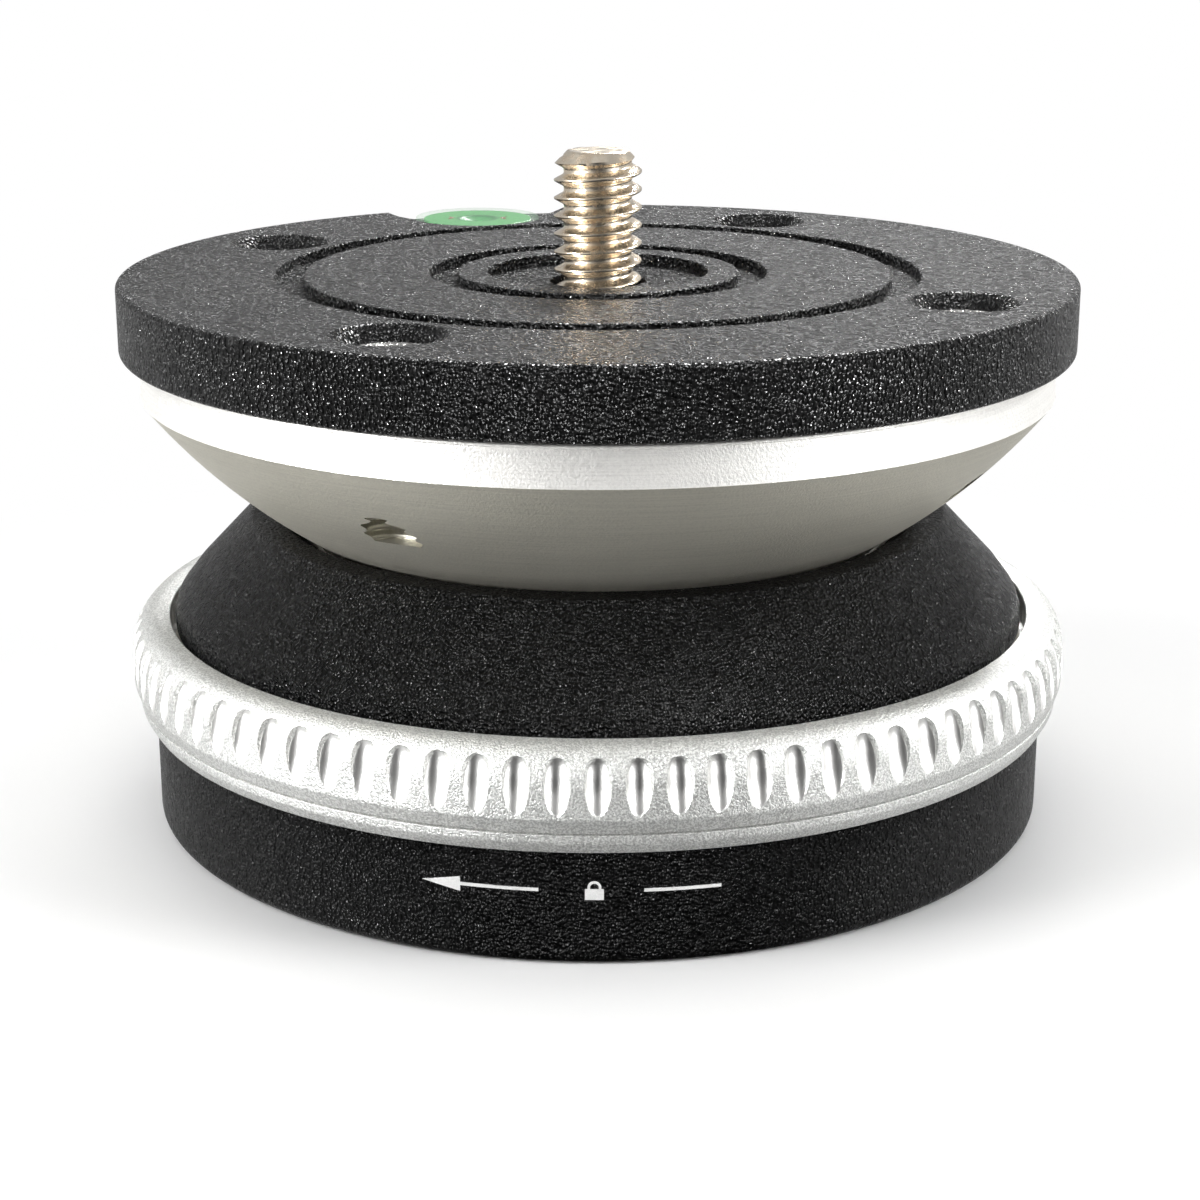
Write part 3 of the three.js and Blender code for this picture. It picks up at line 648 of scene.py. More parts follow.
class Sheet(Nodes):
    """A material of the head; its places are Object coordinates in metres."""

    def __init__(self, name: str, **values: float | Colour) -> None:
        """Start a material with one principled shader.

        Args:
            name: Name of the material.
            values: Shader values, named as the sockets are, with _ for a space.
        """
        self.material = bpy.data.materials.new(name)
        self.material.use_nodes = True
        super().__init__(self.material.node_tree)
        self.shader = self.add("ShaderNodeBsdfPrincipled")
        self.output = self.add("ShaderNodeOutputMaterial")
        self.link(self.shader.outputs["BSDF"], self.output.inputs["Surface"])
        for key, value in values.items():
            socket = self.shader.inputs[key.replace("_", " ")]
            socket.default_value = (*value, 1) if isinstance(value, tuple) else value
        self.place = self.add("ShaderNodeTexCoord").outputs["Object"]

    def noise(self, size: float, detail: float = 1.5, place: Socket | None = None,
              roughness: float = 0.55) -> Socket:
        """Add soft noise.

        Args:
            size: Size of a grain in millimetres.
            detail: Octaves of finer grain.
            place: Where the noise is read, the object's own place unless given.
            roughness: Share that each finer octave keeps.

        Returns:
            The noise, from 0 to 1.
        """
        node = self.add("ShaderNodeTexNoise")
        for name, value in (("Vector", place or self.place), ("Scale", 1 / (size * MM)), ("Detail", detail),
                            ("Roughness", roughness)):
            self.feed(node, name, value)
        return node.outputs["Fac"]

    def cells(self, size: float) -> tuple[Socket, Socket]:
        """Scatter cells so many millimetres wide; give the distance off a cell's middle and its lot.

        Args:
            size: Width of a cell in millimetres.

        Returns:
            The distance and the lot, both from 0 to 1.
        """
        node = self.add("ShaderNodeTexVoronoi")
        self.feed(node, "Vector", self.place)
        self.feed(node, "Scale", 1 / (size * MM))
        lot = self.add("ShaderNodeSeparateColor")
        self.link(node.outputs["Color"], lot.inputs[0])
        return node.outputs["Distance"], lot.outputs[0]

    def blend(self, share: Socket, first: Socket | Colour, second: Socket | Colour) -> Socket:
        """Go from one colour to another with a share.

        Args:
            share: How far to go, from 0 to 1.
            first: The colour at 0.
            second: The colour at 1.

        Returns:
            The colour between.
        """
        node = self.add("ShaderNodeMix", data_type="RGBA")
        self.link(share, node.inputs["Factor"])
        for name, colour in (("A", first), ("B", second)):
            if isinstance(colour, tuple):
                node.inputs[name].default_value = (*colour, 1)
            else:
                self.link(colour, node.inputs[name])
        return node.outputs["Result"]

    def tint(self, share: Socket, first: Socket | Colour, second: Socket | Colour) -> None:
        """Colour the surface between two colours."""
        self.link(self.blend(share, first, second), self.shader.inputs["Base Color"])

    def roughen(self, value: Socket) -> None:
        """Let a number drive the roughness."""
        self.link(value, self.shader.inputs["Roughness"])

    def relief(self, height: Socket, depth: float) -> None:
        """Raise the surface by a height from 0 to 1, over any relief that it has.

        Args:
            height: The height.
            depth: Millimetres that a height of 1 stands for.
        """
        bump = self.add("ShaderNodeBump")
        for name, value in (("Height", height), ("Distance", depth * MM), ("Strength", 1.0)):
            self.feed(bump, name, value)
        normal = self.shader.inputs["Normal"]
        if normal.is_linked:
            self.link(normal.links[0].from_socket, bump.inputs["Normal"])
        self.link(bump.outputs["Normal"], normal)

    def turning_place(self, length: float, width: float) -> Socket:
        """Give a place that runs long round the axis and short across it, for turning marks.

        The place is the distance off the axis and the height, each over the width, and a slow plan place.

        Args:
            length: Millimetres along a mark.
            width: Millimetres across it.

        Returns:
            The place in marks.
        """
        across, along, height = self.split(self.place)
        joined = self.add("ShaderNodeCombineXYZ")
        reach = self.maths("ADD", self.far(across, along), height)
        for index, (part, size) in enumerate(((reach, width), (across, length), (along, length))):
            self.feed(joined, index, self.maths("MULTIPLY", part, 1 / (size * MM)))
        return joined.outputs[0]


@dataclass(frozen=True)
class PowderCoat:
    """Black wrinkle coat: grains that stand up and throw the lamps back from their slopes."""

    name: str
    grain: float
    relief: float
    # The specks are painted glints: bright metallic dots on some beads, in place of the lamps' sparkle off
    # the grains.
    glint_colour: Colour = (0.40, 0.40, 0.40)
    glint_core: float = 0.08
    glint_reach: float = 0.24
    # dark and light colour the grains from hollow to crest: painted shade in the hollows, a painted highlight
    # on the crests.
    dark: Colour = (0.001, 0.001, 0.001)
    light: Colour = (0.005, 0.005, 0.0052)
    roughness: float = 0.24
    sheen_level: float = 0.22
    bead_share: float = 0.95
    dome_slope: float = 1.7
    grain_share: float = 0.9
    crest: float = 0.45
    patch_share: float = 2.5

    def sheet(self) -> Sheet:
        """Mix soft grains with small beads, lighter on their crests as a painted highlight and darker in the
        hollows as painted shade; some beads carry bright metallic specks, painted glints.

        Returns:
            The material's sheet.
        """
        sheet = Sheet(self.name, Roughness=self.roughness, IOR=1.5, Specular_IOR_Level=self.sheen_level)
        grains = sheet.noise(self.grain, detail=2.0, roughness=0.6)
        off_bead, lot = sheet.cells(self.grain * self.bead_share)
        # Painted glints: a share of the beads gets a bright metallic speck at its middle.
        glint_specks = sheet.maths("MULTIPLY", sheet.spread(lot, 0.35, 0.6),
                             sheet.spread(off_bead, self.glint_core, self.glint_reach, 1.0, 0.0))
        dome = sheet.maths("MULTIPLY", sheet.maths("POWER", off_bead, 2.0), self.dome_slope)
        height = sheet.maths("SUBTRACT", sheet.maths("MULTIPLY", grains, self.grain_share), dome)
        # Painted light: the colour is lighter where the relief stands high, a painted highlight on the crests
        # and painted shade in the hollows.
        crest_highlight_hollow_shade = sheet.blend(sheet.spread(height, 0.0, self.crest), self.dark, self.light)
        sheet.tint(glint_specks, crest_highlight_hollow_shade, self.glint_colour)
        sheet.link(glint_specks, sheet.shader.inputs["Metallic"])
        sheet.roughen(sheet.vary(sheet.noise(self.grain * self.patch_share), self.roughness, 0.05, 0.07))
        sheet.relief(height, self.relief)
        return sheet

    def material(self) -> bpy.types.Material:
        """Give the finished coat."""
        return self.sheet().material


@dataclass(frozen=True)
class PlateCoat(PowderCoat):
    """The plate's coat, cut through to bare metal at the lowest edge of its countersinks."""

    bare: float = 2.72
    bare_blur: float = 0.05
    metal: Colour = (0.86, 0.85, 0.83)

    def sheet(self) -> Sheet:
        """Mix the bare metal in by the distance from the nearest hole's axis.

        The plan angle is folded into one quarter turn about the holes, where the hole lies on its circle.

        Returns:
            The material's sheet.
        """
        sheet = super().sheet()
        across, along, _ = sheet.split(sheet.place)
        radius = sheet.far(across, along)
        angle = sheet.maths("SUBTRACT", sheet.maths("ARCTAN2", along, across), radians(SCREW_FIRST_ANGLE))
        folded = sheet.maths("WRAP", angle, math.pi / 4, -math.pi / 4)
        out = sheet.maths("MULTIPLY", radius, sheet.maths("COSINE", folded))
        aside = sheet.maths("MULTIPLY", radius, sheet.maths("SINE", folded))
        off_axis = sheet.far(sheet.maths("SUBTRACT", out, SCREW_CIRCLE * MM), aside)
        at_edge = sheet.spread(off_axis, self.bare * MM, (self.bare + self.bare_blur) * MM, 1.0, 0.0)
        # coat carries the painted crest highlight and hollow shade, and the specks carry the painted glints.
        coat, glint_specks = (sheet.shader.inputs[name].links[0].from_socket for name in ("Base Color", "Metallic"))
        sheet.tint(at_edge, coat, self.metal)
        sheet.link(sheet.maths("MAXIMUM", at_edge, glint_specks), sheet.shader.inputs["Metallic"])
        return sheet


@dataclass(frozen=True)
class TurnedMetal:
    """Bare turned metal, bead-blasted: bright on the band, and coloured darker and warmer on the bowl under
    it as painted shade on its downward-facing side.
    """

    name: str
    band: Colour
    # The bowl colour is the band's metal darkened and warmed: painted shade on the underside.
    bowl: Colour
    roughness: float
    band_bottom: float
    edge_blur: float = 0.03
    band_metallic: float = 0.4
    bowl_metallic: float = 0.85
    band_shade: float = 0.9
    bowl_shade: float = 0.84
    grain: float = 0.17
    relief: float = 0.035
    mark_length: float = 12.0
    mark_width: float = 0.09
    mark_relief: float = 0.004

    def material(self) -> bpy.types.Material:
        """Dent the metal finely and lay turning marks round the axis, under the blasting.

        The noise of the marks has a grain of one, because its place is already counted in marks.

        Returns:
            The material.
        """
        sheet = Sheet(self.name, Roughness=self.roughness)
        dents = sheet.noise(self.grain, detail=2.0, roughness=0.6)
        lines = sheet.noise(1 / MM, 3.0, sheet.turning_place(self.mark_length, self.mark_width))
        tone = sheet.maths("ADD", sheet.maths("MULTIPLY", dents, 0.5), sheet.maths("MULTIPLY", lines, 0.5))
        low, high = (self.band_bottom - self.edge_blur) * MM, (self.band_bottom + self.edge_blur) * MM
        below = sheet.spread(sheet.split(sheet.place)[2], low, high, 1.0, 0.0)
        sheet.link(sheet.pick(below, self.band_metallic, self.bowl_metallic), sheet.shader.inputs["Metallic"])
        # Painted shade: below the band's lower edge the metal takes the darker, warmer bowl colour.
        clean = sheet.blend(below, self.band, self.bowl)
        dull = sheet.blend(below, shaded(self.band, self.band_shade), shaded(self.bowl, self.bowl_shade))
        sheet.tint(sheet.spread(tone, 0.35, 0.6), dull, clean)
        sheet.relief(lines, self.mark_relief)
        sheet.roughen(sheet.vary(dents, self.roughness, 0.06, 0.06))
        sheet.relief(dents, self.relief)
        return sheet.material


@dataclass(frozen=True)
class FlutedMetal:
    """Bead-blasted ring whose flutes are milled bright afterwards."""

    name: str
    colour: Colour
    milled: Colour
    roughness: float
    milled_roughness: float
    ring: Span
    middle: float = 4.6
    half_width: float = 0.86
    half_height: float = 1.95
    metallic: float = 0.5
    shade: float = 0.62
    oval_fade: Pair = (0.86, 0.98)
    grain: float = 0.14
    relief: float = 0.09
    milled_relief_share: float = 0.15

    def material(self) -> bpy.types.Material:
        """Blast the ring and polish an oval round each flute.

        The plan angle is folded into one flute's share of the turn. The distance across, over half the
        flute's width, and the height off its middle, over half its height, are squared and added, and the
        root is 1 on the oval's edge.

        Returns:
            The material.
        """
        sheet = Sheet(self.name)
        dents = sheet.noise(self.grain, detail=2.0, roughness=0.6)
        across, along, height = sheet.split(sheet.place)
        angle = sheet.maths("SUBTRACT", sheet.maths("ARCTAN2", along, across), radians(FRONT))
        folded = sheet.maths("WRAP", angle, math.pi / FLUTES, -math.pi / FLUTES)
        aside = sheet.maths("MULTIPLY", folded, self.ring.radius / self.half_width)
        off_middle = sheet.maths("SUBTRACT", height, (self.ring.bottom + self.middle) * MM)
        above = sheet.maths("DIVIDE", off_middle, self.half_height * MM)
        flute = sheet.spread(sheet.far(aside, above), *self.oval_fade, 1.0, 0.0)
        blasted = sheet.blend(sheet.spread(dents, 0.4, 0.6), shaded(self.colour, self.shade), self.colour)
        sheet.tint(flute, blasted, self.milled)
        sheet.link(sheet.pick(flute, self.metallic, 1.0), sheet.shader.inputs["Metallic"])
        rough = sheet.vary(dents, self.roughness, 0.06, 0.06)
        sheet.roughen(sheet.pick(flute, rough, self.milled_roughness))
        depth = sheet.pick(flute, 1.0, self.milled_relief_share)
        sheet.relief(sheet.maths("MULTIPLY", dents, depth), self.relief)
        return sheet.material


@dataclass(frozen=True)
class CutMetal:
    """Turned or drawn metal with fine scratches and a faint stain."""

    name: str
    colour: Colour
    stain: Colour
    roughness: float
    metallic: float = 1.0
    patch: float = 0.9
    scratch: float = 0.07
    scratch_depth: float = 0.002

    def material(self) -> bpy.types.Material:
        """Stain the metal in patches and scratch it finely.

        Returns:
            The material.
        """
        sheet = Sheet(self.name, Metallic=self.metallic, Roughness=self.roughness)
        patches = sheet.noise(self.patch, detail=3.0)
        sheet.tint(sheet.spread(patches, 0.42, 0.68), self.colour, self.stain)
        sheet.roughen(sheet.vary(patches, self.roughness, 0.05, 0.08))
        sheet.relief(sheet.noise(self.scratch, detail=2.0), self.scratch_depth)
        return sheet.material


@dataclass(frozen=True)
class Polymer:
    """Moulded or printed plastic with a faint mottle."""

    name: str
    colour: Colour
    shade: Colour
    roughness: float
    grain: float = 0.15
    pit_depth: float = 0.003

    def material(self) -> bpy.types.Material:
        """Mottle the plastic and pit it finely.

        Returns:
            The material.
        """
        sheet = Sheet(self.name, Roughness=self.roughness)
        mottle = sheet.noise(self.grain, detail=2.0)
        sheet.tint(sheet.spread(mottle, 0.35, 0.65), self.colour, self.shade)
        sheet.roughen(sheet.vary(mottle, self.roughness, 0.05, 0.05))
        sheet.relief(mottle, self.pit_depth)
        return sheet.material


@dataclass(frozen=True)
class ClearPlastic:
    """Clear plastic that hides a small share of what lies behind it."""

    name: str
    colour: Colour
    roughness: float
    cover: float
    swirl: float = 1.2
    swirl_depth: float = 0.004

    def material(self) -> bpy.types.Material:
        """Thin the plastic out, with a faint swirl in its surface.

        Returns:
            The material.
        """
        sheet = Sheet(self.name, Base_Color=self.colour, Roughness=self.roughness, Alpha=self.cover)
        sheet.relief(sheet.noise(self.swirl), self.swirl_depth)
        return sheet.material


@dataclass(frozen=True)
class LevelFluid:
    """Green fluid with painted shade at its bubble: darker at the bubble's rim and inside it."""

    name: str
    colour: Colour
    # rim and inside are painted shade: the bubble's dark edge and the darker green within it.
    rim: Colour
    inside: Colour
    level: Span
    bubble: float = BUBBLE_RADIUS
    rim_width: float = 0.3
    fade: Pair = (0.4, 0.1)
    roughness: float = 0.3
    sheen_level: float = 0.1
    cloud: float = 1.5
    cloud_shade: float = 0.92

    def material(self) -> bpy.types.Material:
        """Colour by the distance from the level's axis: lit fluid, painted shade for the bubble's rim, and a
        lighter painted shade inside it.

        Returns:
            The material.
        """
        sheet = Sheet(self.name, Roughness=self.roughness, Specular_IOR_Level=self.sheen_level)
        across, along, _ = sheet.split(sheet.place)
        off = sheet.far(sheet.maths("SUBTRACT", across, self.level.x * MM),
                        sheet.maths("SUBTRACT", along, self.level.y * MM))
        # Painted shade: a dark ring at the bubble's edge and a darker green inside the bubble.
        beyond = sheet.spread(off, self.bubble * MM, (self.bubble + self.rim_width) * MM)
        within = sheet.spread(off, *((self.bubble - inset) * MM for inset in self.fade))
        bubble = sheet.blend(within, self.inside, self.rim)
        clouds = sheet.blend(sheet.noise(self.cloud), shaded(self.colour, self.cloud_shade), self.colour)
        sheet.tint(beyond, bubble, clouds)
        return sheet.material


class Finishes:
    """The materials of the head, made once and shared by its pieces."""

    def __init__(self) -> None:
        """Make every finish."""
        band_bottom = PIVOT - math.sqrt(BALL_RADIUS ** 2 - Span.of("half_ball").radius ** 2)
        finishes = {
            Slot.BLACK_COAT: PlateCoat("coarse black coat", grain=0.3, relief=0.18),
            Slot.NECK_COAT: PowderCoat("fine black coat", grain=0.24, relief=0.13, glint_colour=(0.12, 0.12, 0.12),
                                       roughness=0.26, sheen_level=0.11),
            Slot.SATIN: TurnedMetal("satin turned aluminium", (0.86, 0.85, 0.82), (0.61, 0.59, 0.515), 0.5,
                                    band_bottom),
            Slot.BLASTED: FlutedMetal("bead blasted aluminium", (0.73, 0.735, 0.715), (0.97, 0.97, 0.95),
                                      roughness=0.44, milled_roughness=0.36, ring=Span.of("lock_ring")),
            Slot.STUD: CutMetal("plated stud", (0.95, 0.85, 0.70), (0.80, 0.66, 0.50), 0.22),
            Slot.STEEL: CutMetal("plain steel", (0.55, 0.56, 0.57), (0.42, 0.42, 0.42), 0.32),
            Slot.SPRING: CutMetal("spring steel", (0.16, 0.16, 0.17), (0.10, 0.09, 0.09), 0.35),
            Slot.BLACK_STEEL: CutMetal("blackened steel", (0.035, 0.035, 0.038), (0.06, 0.055, 0.05), 0.38,
                                       0.8),
            Slot.POLYMER: Polymer("slide polymer", (0.76, 0.73, 0.64), (0.68, 0.65, 0.57), 0.45),
            Slot.CLEAR: ClearPlastic("clear acrylic", (0.50, 0.80, 0.55), roughness=0.15, cover=0.18),
            # The level fluid's second and third colours are painted shade at the bubble's rim and inside it.
            Slot.GREEN: LevelFluid("green level fluid", (0.11, 0.48, 0.14), (0.03, 0.20, 0.06),
                                   (0.07, 0.36, 0.11), level=Span.of("level_body")),
            Slot.WHITE: Polymer("white level back", (0.86, 0.88, 0.85), (0.80, 0.83, 0.80), 0.4),
        }
        self._made = {slot: finish.material() for slot, finish in finishes.items()}
        self.print = Polymer("white print", (0.86, 0.86, 0.85), (0.78, 0.78, 0.77), 0.5, 0.09).material()
        self.red = Polymer("red print", (0.42, 0.05, 0.03), (0.34, 0.04, 0.02), 0.4, 0.09).material()

    def dress(self, piece: Piece, slot: Slot, body: Body | str, stands_for: Sequence[str] = (),
              other: bpy.types.Material | None = None, sharp_angle: float | None = 32) -> None:
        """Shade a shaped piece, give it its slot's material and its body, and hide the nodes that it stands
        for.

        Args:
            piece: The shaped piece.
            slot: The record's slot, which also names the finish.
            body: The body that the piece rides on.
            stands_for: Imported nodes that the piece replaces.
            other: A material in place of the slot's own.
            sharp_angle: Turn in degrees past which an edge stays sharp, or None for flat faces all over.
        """
        if sharp_angle is not None:
            smooth(piece, sharp_angle)
        piece.data.materials.clear()
        piece.data.materials.append(other or self._made[slot])
        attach(piece, body.value if isinstance(body, Body) else body)
        if stands_for:
            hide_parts(*stands_for)
        LOG.info("%s rides on %s: %d faces", piece.name, body, len(piece.data.polygons))

    def coat_node(self, node: str, slot: Slot) -> None:
        """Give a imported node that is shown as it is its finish.

        Args:
            node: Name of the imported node.
            slot: The record's slot, which names the finish.
        """
        packed = frame["nodes"][node]
        packed.data.materials.clear()
        packed.data.materials.append(self._made[slot])
        LOG.info("%s keeps its packed shape", node)


@dataclass
class Platform:
    """The plate, the half ball under it, the stud, the set screws and the level.

    A pair is a size and its corner's fillet. A screw's socket is its radius, its depth and its cone's height.
    """

    finishes: Finishes
    edge: float = 0.35
    land_edge: float = 0.13
    floor_edge: float = 0.1
    groove_width: float = 2.0
    groove_depth: float = 0.75
    outer_groove: float = 22.95
    inner_groove: float = 12.05
    recess: float = 7.85
    stud_hole: Pair = (3.43, 0.05)
    flange_hole: float = 6.8
    flange_depth: float = 1.6
    flange_height: float = 1.3
    cavity: float = 22.363
    spigot: float = 23.763
    turned_edge: float = 0.15
    ball_seat: float = 34.0
    tilt_limit: float = 15.0
    band_lean: float = 2.0
    bore_radius: float = 2.05
    bore_crest: float = 0.08
    bore_root: float = 0.27
    bore_start: float = 8.0
    countersink: float = 3.8
    mouth_round: float = 0.3
    mouth_share: float = 0.41
    mouth_lift: float = 0.002
    scallop_circle: float = 32.5
    scallop_turn: float = -2.8
    scallop_floor: Pair = (6.3, 1.2)
    scallop_mouth: Pair = (8.0, 0.5)
    scallop_flare: float = 0.2
    thread: Thread = Thread(pitch=1.27, crest=3.13, root=2.42, end=2.15)
    thread_sink: float = 0.2
    screw_root: float = 0.3
    screw_end: float = 0.55
    screw_socket: Triple = (0.9, 1.8, 0.4)

    def __post_init__(self) -> None:
        """Read the places that the frame sets."""
        self.plate, self.ball, self.stud, self.level = map(Span.of, (
            "platform_plate", "half_ball", "mount_stud", "level_body"))
        self.underside = self.stud.bottom
        self.floor = self.plate.top - self.groove_depth
        self.screw_places = [on_circle(SCREW_CIRCLE, angle) for angle in even_angles(4, SCREW_FIRST_ANGLE)]

    def build(self) -> None:
        """Build and dress every piece of the platform."""
        self.make_plate()
        self.make_ball()
        self.make_stud()
        self.make_set_screws()
        Level(self.finishes, self.level).build()

    def groove(self, outer: float) -> list[Triple]:
        """Draw a ring groove in the plate's top, from its outer edge inwards.

        Args:
            outer: Radius of its outer edge.

        Returns:
            Corners of radius, height and fillet.
        """
        inner, top = outer - self.groove_width, self.plate.top
        return [(outer, top, self.land_edge), (outer, self.floor, self.floor_edge),
                (inner, self.floor, self.floor_edge), (inner, top, self.land_edge)]

    def make_plate(self) -> None:
        """Turn the plate with its grooves, then cut the countersunk holes and the level's pocket."""
        plate, low, roof = self.plate, self.underside, self.underside + self.flange_depth
        hole, hole_edge = self.stud_hole
        piece = turned("plate_with_grooves", rounded([
            (plate.radius, low, self.edge), (plate.radius, plate.top, self.edge),
            *self.groove(self.outer_groove), *self.groove(self.inner_groove),
            (self.recess, plate.top, self.land_edge), (self.recess, self.floor, self.floor_edge),
            (hole, self.floor, hole_edge), (hole, roof), (self.flange_hole, roof), (self.flange_hole, low),
            (self.cavity, low), (self.cavity, plate.bottom), (self.spigot, plate.bottom, self.turned_edge),
            (self.spigot, low),
        ]))
        carve(piece, [*map(self.countersink_cutter, self.screw_places), *self.level_cutters()])
        self.finishes.dress(piece, Slot.BLACK_COAT, Body.PLATFORM, ["platform_plate"])

    def countersink_cutter(self, place: Place) -> Piece:
        """Shape one countersunk hole with a softly rounded mouth.

        The cone runs up at 45 degrees, and from its mouth an arc turns the slope down to almost level.

        Args:
            place: Plan place of the hole.

        Returns:
            The cutter.
        """
        slope = radians(np.linspace(45, 6, 7))
        out = self.countersink + self.mouth_round * (self.mouth_share - np.sin(slope))
        up = self.plate.top + self.mouth_lift - self.mouth_round * (1 - np.cos(slope))
        bore, low, above = self.bore_radius, self.underside - OVERRUN, self.plate.top + OVERRUN
        rows = [(bore, low), (bore, up[0] - out[0] + bore), *zip(out, up), (out[-1], above)]
        return plug("countersink", rows, place)

    def level_cutters(self) -> list[Piece]:
        """Shape the level's pocket, its flange's recess and the sloping scallop that opens at the rim.

        Returns:
            The three cutters.
        """
        level, back, above = self.level, Span.of("level_back"), self.plate.top + OVERRUN
        holes = {"pocket": (back.radius + CLEARANCE, back.bottom - CLEARANCE),
                 "flange_recess": (level.radius + CLEARANCE, self.floor)}
        (low, low_round), (mouth, mouth_round) = self.scallop_floor, self.scallop_mouth
        scallop = rounded([(0, self.floor), (low, self.floor, low_round),
                           (mouth, self.plate.top, mouth_round), (mouth + self.scallop_flare, above),
                           (0, above)])
        angle = math.degrees(math.atan2(level.y, level.x)) + self.scallop_turn
        return [*(plug(name, [(radius, bottom), (radius, above)], level.centre)
                  for name, (radius, bottom) in holes.items()),
                turned("scallop", scallop, COLUMNS, on_circle(self.scallop_circle, angle))]

    def bolt_room(self, radius: float) -> float:
        """Give how far off the axis a sphere of the bowl starts, so that it clears the bolt at full tilt."""
        return radius * math.sin(radians(self.tilt_limit) + math.asin(BOLT_HOLE / radius))

    def make_ball(self) -> None:
        """Turn the half ball with its band and cut the four threaded bores."""
        ball, shelf, socket = self.ball, self.plate.bottom - CLEARANCE, self.spigot + CLEARANCE
        outside = sphere_arc(BALL_RADIUS, self.bolt_room(BALL_RADIUS), ball.radius, 64)
        band = rounded([(ball.radius - self.band_lean, outside[-1, 1]),
                        (ball.radius, ball.top, self.turned_edge), (socket, ball.top), (socket, shelf),
                        (self.cavity, shelf)])[1:]
        inside = sphere_arc(self.ball_seat, self.bolt_room(self.ball_seat), self.cavity, 32)[::-1]
        piece = turned("bowl_with_band", np.concatenate([outside, band, inside]))
        root = self.bore_radius - self.bore_root
        thread = Thread(SCREW_PITCH, self.bore_radius + self.bore_crest, root, root)
        carve(piece, [thread.wind("bore", ball.bottom + self.bore_start, ball.top + OVERRUN, place, 64)
                      for place in self.screw_places])
        self.finishes.dress(piece, Slot.SATIN, Body.PLATFORM, ["half_ball"], sharp_angle=25)

    def make_stud(self) -> None:
        """Wind the quarter-inch stud, right-handed, with a chamfered flat end, over its flange."""
        stud, top = self.stud, self.stud.bottom + self.flange_height
        piece = self.thread.wind("threaded_stud", top - self.thread_sink, stud.top, (0, 0), SMALL_COLUMNS)
        self.finishes.dress(piece, Slot.STUD, Body.PLATFORM, ["mount_stud"], sharp_angle=50)
        flange = disc("stud_flange", stud.radius, stud.bottom, top, self.turned_edge)
        self.finishes.dress(flange, Slot.STUD, Body.PLATFORM)

    def make_set_screws(self) -> None:
        """Wind the four set screws, each with a hexagon socket in its lower end."""
        for index in range(1, 5):
            span = Span.of(f"set_screw_{index}")
            crest = span.radius
            thread = Thread(SCREW_PITCH, crest, crest - self.screw_root, crest - self.screw_end)
            piece = thread.wind(f"set_screw_{index}_threaded", span.bottom, span.top, span.centre, 48)
            carve(piece, [hexagon_socket(span, *self.screw_socket)])
            self.finishes.dress(piece, Slot.BLACK_STEEL, f"screw_{index}", [f"set_screw_{index}"],
                                sharp_angle=40)


@dataclass
class Level:
    """The round spirit level in the plate."""

    finishes: Finishes
    body: Span
    wall: float = 0.2
    skin: float = 0.12
    skin_edge: float = 0.05
    low_edge: float = 0.08
    top_edge: float = 0.12
    disc_edge: float = 0.1
    flange_height: float = 0.45
    bubble_depth: float = 0.45
    gap: float = 0.04
    mark_offset: float = 1.8
    mark_thickness: float = 0.02
    mark_size: float = 0.6
    mark_spread: float = 1.4
    mark_notch: float = 0.7

    def build(self) -> None:
        """Build and dress the window, the liquid, the back and the marks."""
        body, back = self.body, Span.of("level_back")
        inner, under, flange = back.radius - self.wall, body.top - self.skin, body.top - self.flange_height
        window = turned("level_window", rounded([
            (inner, body.bottom), (back.radius, body.bottom, self.low_edge), (back.radius, flange),
            (body.radius, flange, self.low_edge), (body.radius, body.top, self.top_edge), (0, body.top),
            (0, under), (inner, under, self.skin_edge)]), SMALL_COLUMNS, body.centre)
        self.finishes.dress(window, Slot.CLEAR, Body.PLATFORM, ["level_body"])
        self.make_liquid(inner - self.gap, under - self.gap)
        sheet = disc("level_disc", back.radius, back.bottom, back.top, self.disc_edge, body.centre)
        self.finishes.dress(sheet, Slot.WHITE, Body.PLATFORM, ["level_back"])
        self.make_marks(under - self.gap / 4)

    def make_liquid(self, radius: float, top: float) -> None:
        """Turn the liquid with the bubble's hollow in its top.

        The hollow's depth falls from its middle to its rim as one less the square of the radius share.

        Args:
            radius: Radius of the liquid.
            top: Height of its top.
        """
        share = np.linspace(1, 0, 12)
        hollow = zip(BUBBLE_RADIUS * share, top - self.bubble_depth * (1 - share ** 2))
        bottom = self.body.bottom
        liquid = turned("level_liquid", np.array([(0, bottom), (radius, bottom), (radius, top), *hollow]),
                        SMALL_COLUMNS, self.body.centre)
        self.finishes.dress(liquid, Slot.GREEN, Body.PLATFORM, ["level_fluid"])

    def make_marks(self, height: float) -> None:
        """Lay two small arrow heads that point at the bubble from both sides.

        Args:
            height: Height of their upper faces.
        """
        x, y = self.body.centre
        wing = self.mark_spread * self.mark_size
        for index, side in enumerate((-1, 1), start=1):
            tip, notch, ends = (x + side * (self.mark_offset + share * self.mark_size)
                                for share in (0, self.mark_notch, 1))
            plan = np.array([[tip, y], [ends, y - wing], [notch, y], [ends, y + wing]])
            mark = prism(f"level_mark_{index}", plan, height - self.mark_thickness, height)
            self.finishes.dress(mark, Slot.GREEN, Body.PLATFORM, other=self.finishes.red, sharp_angle=None)


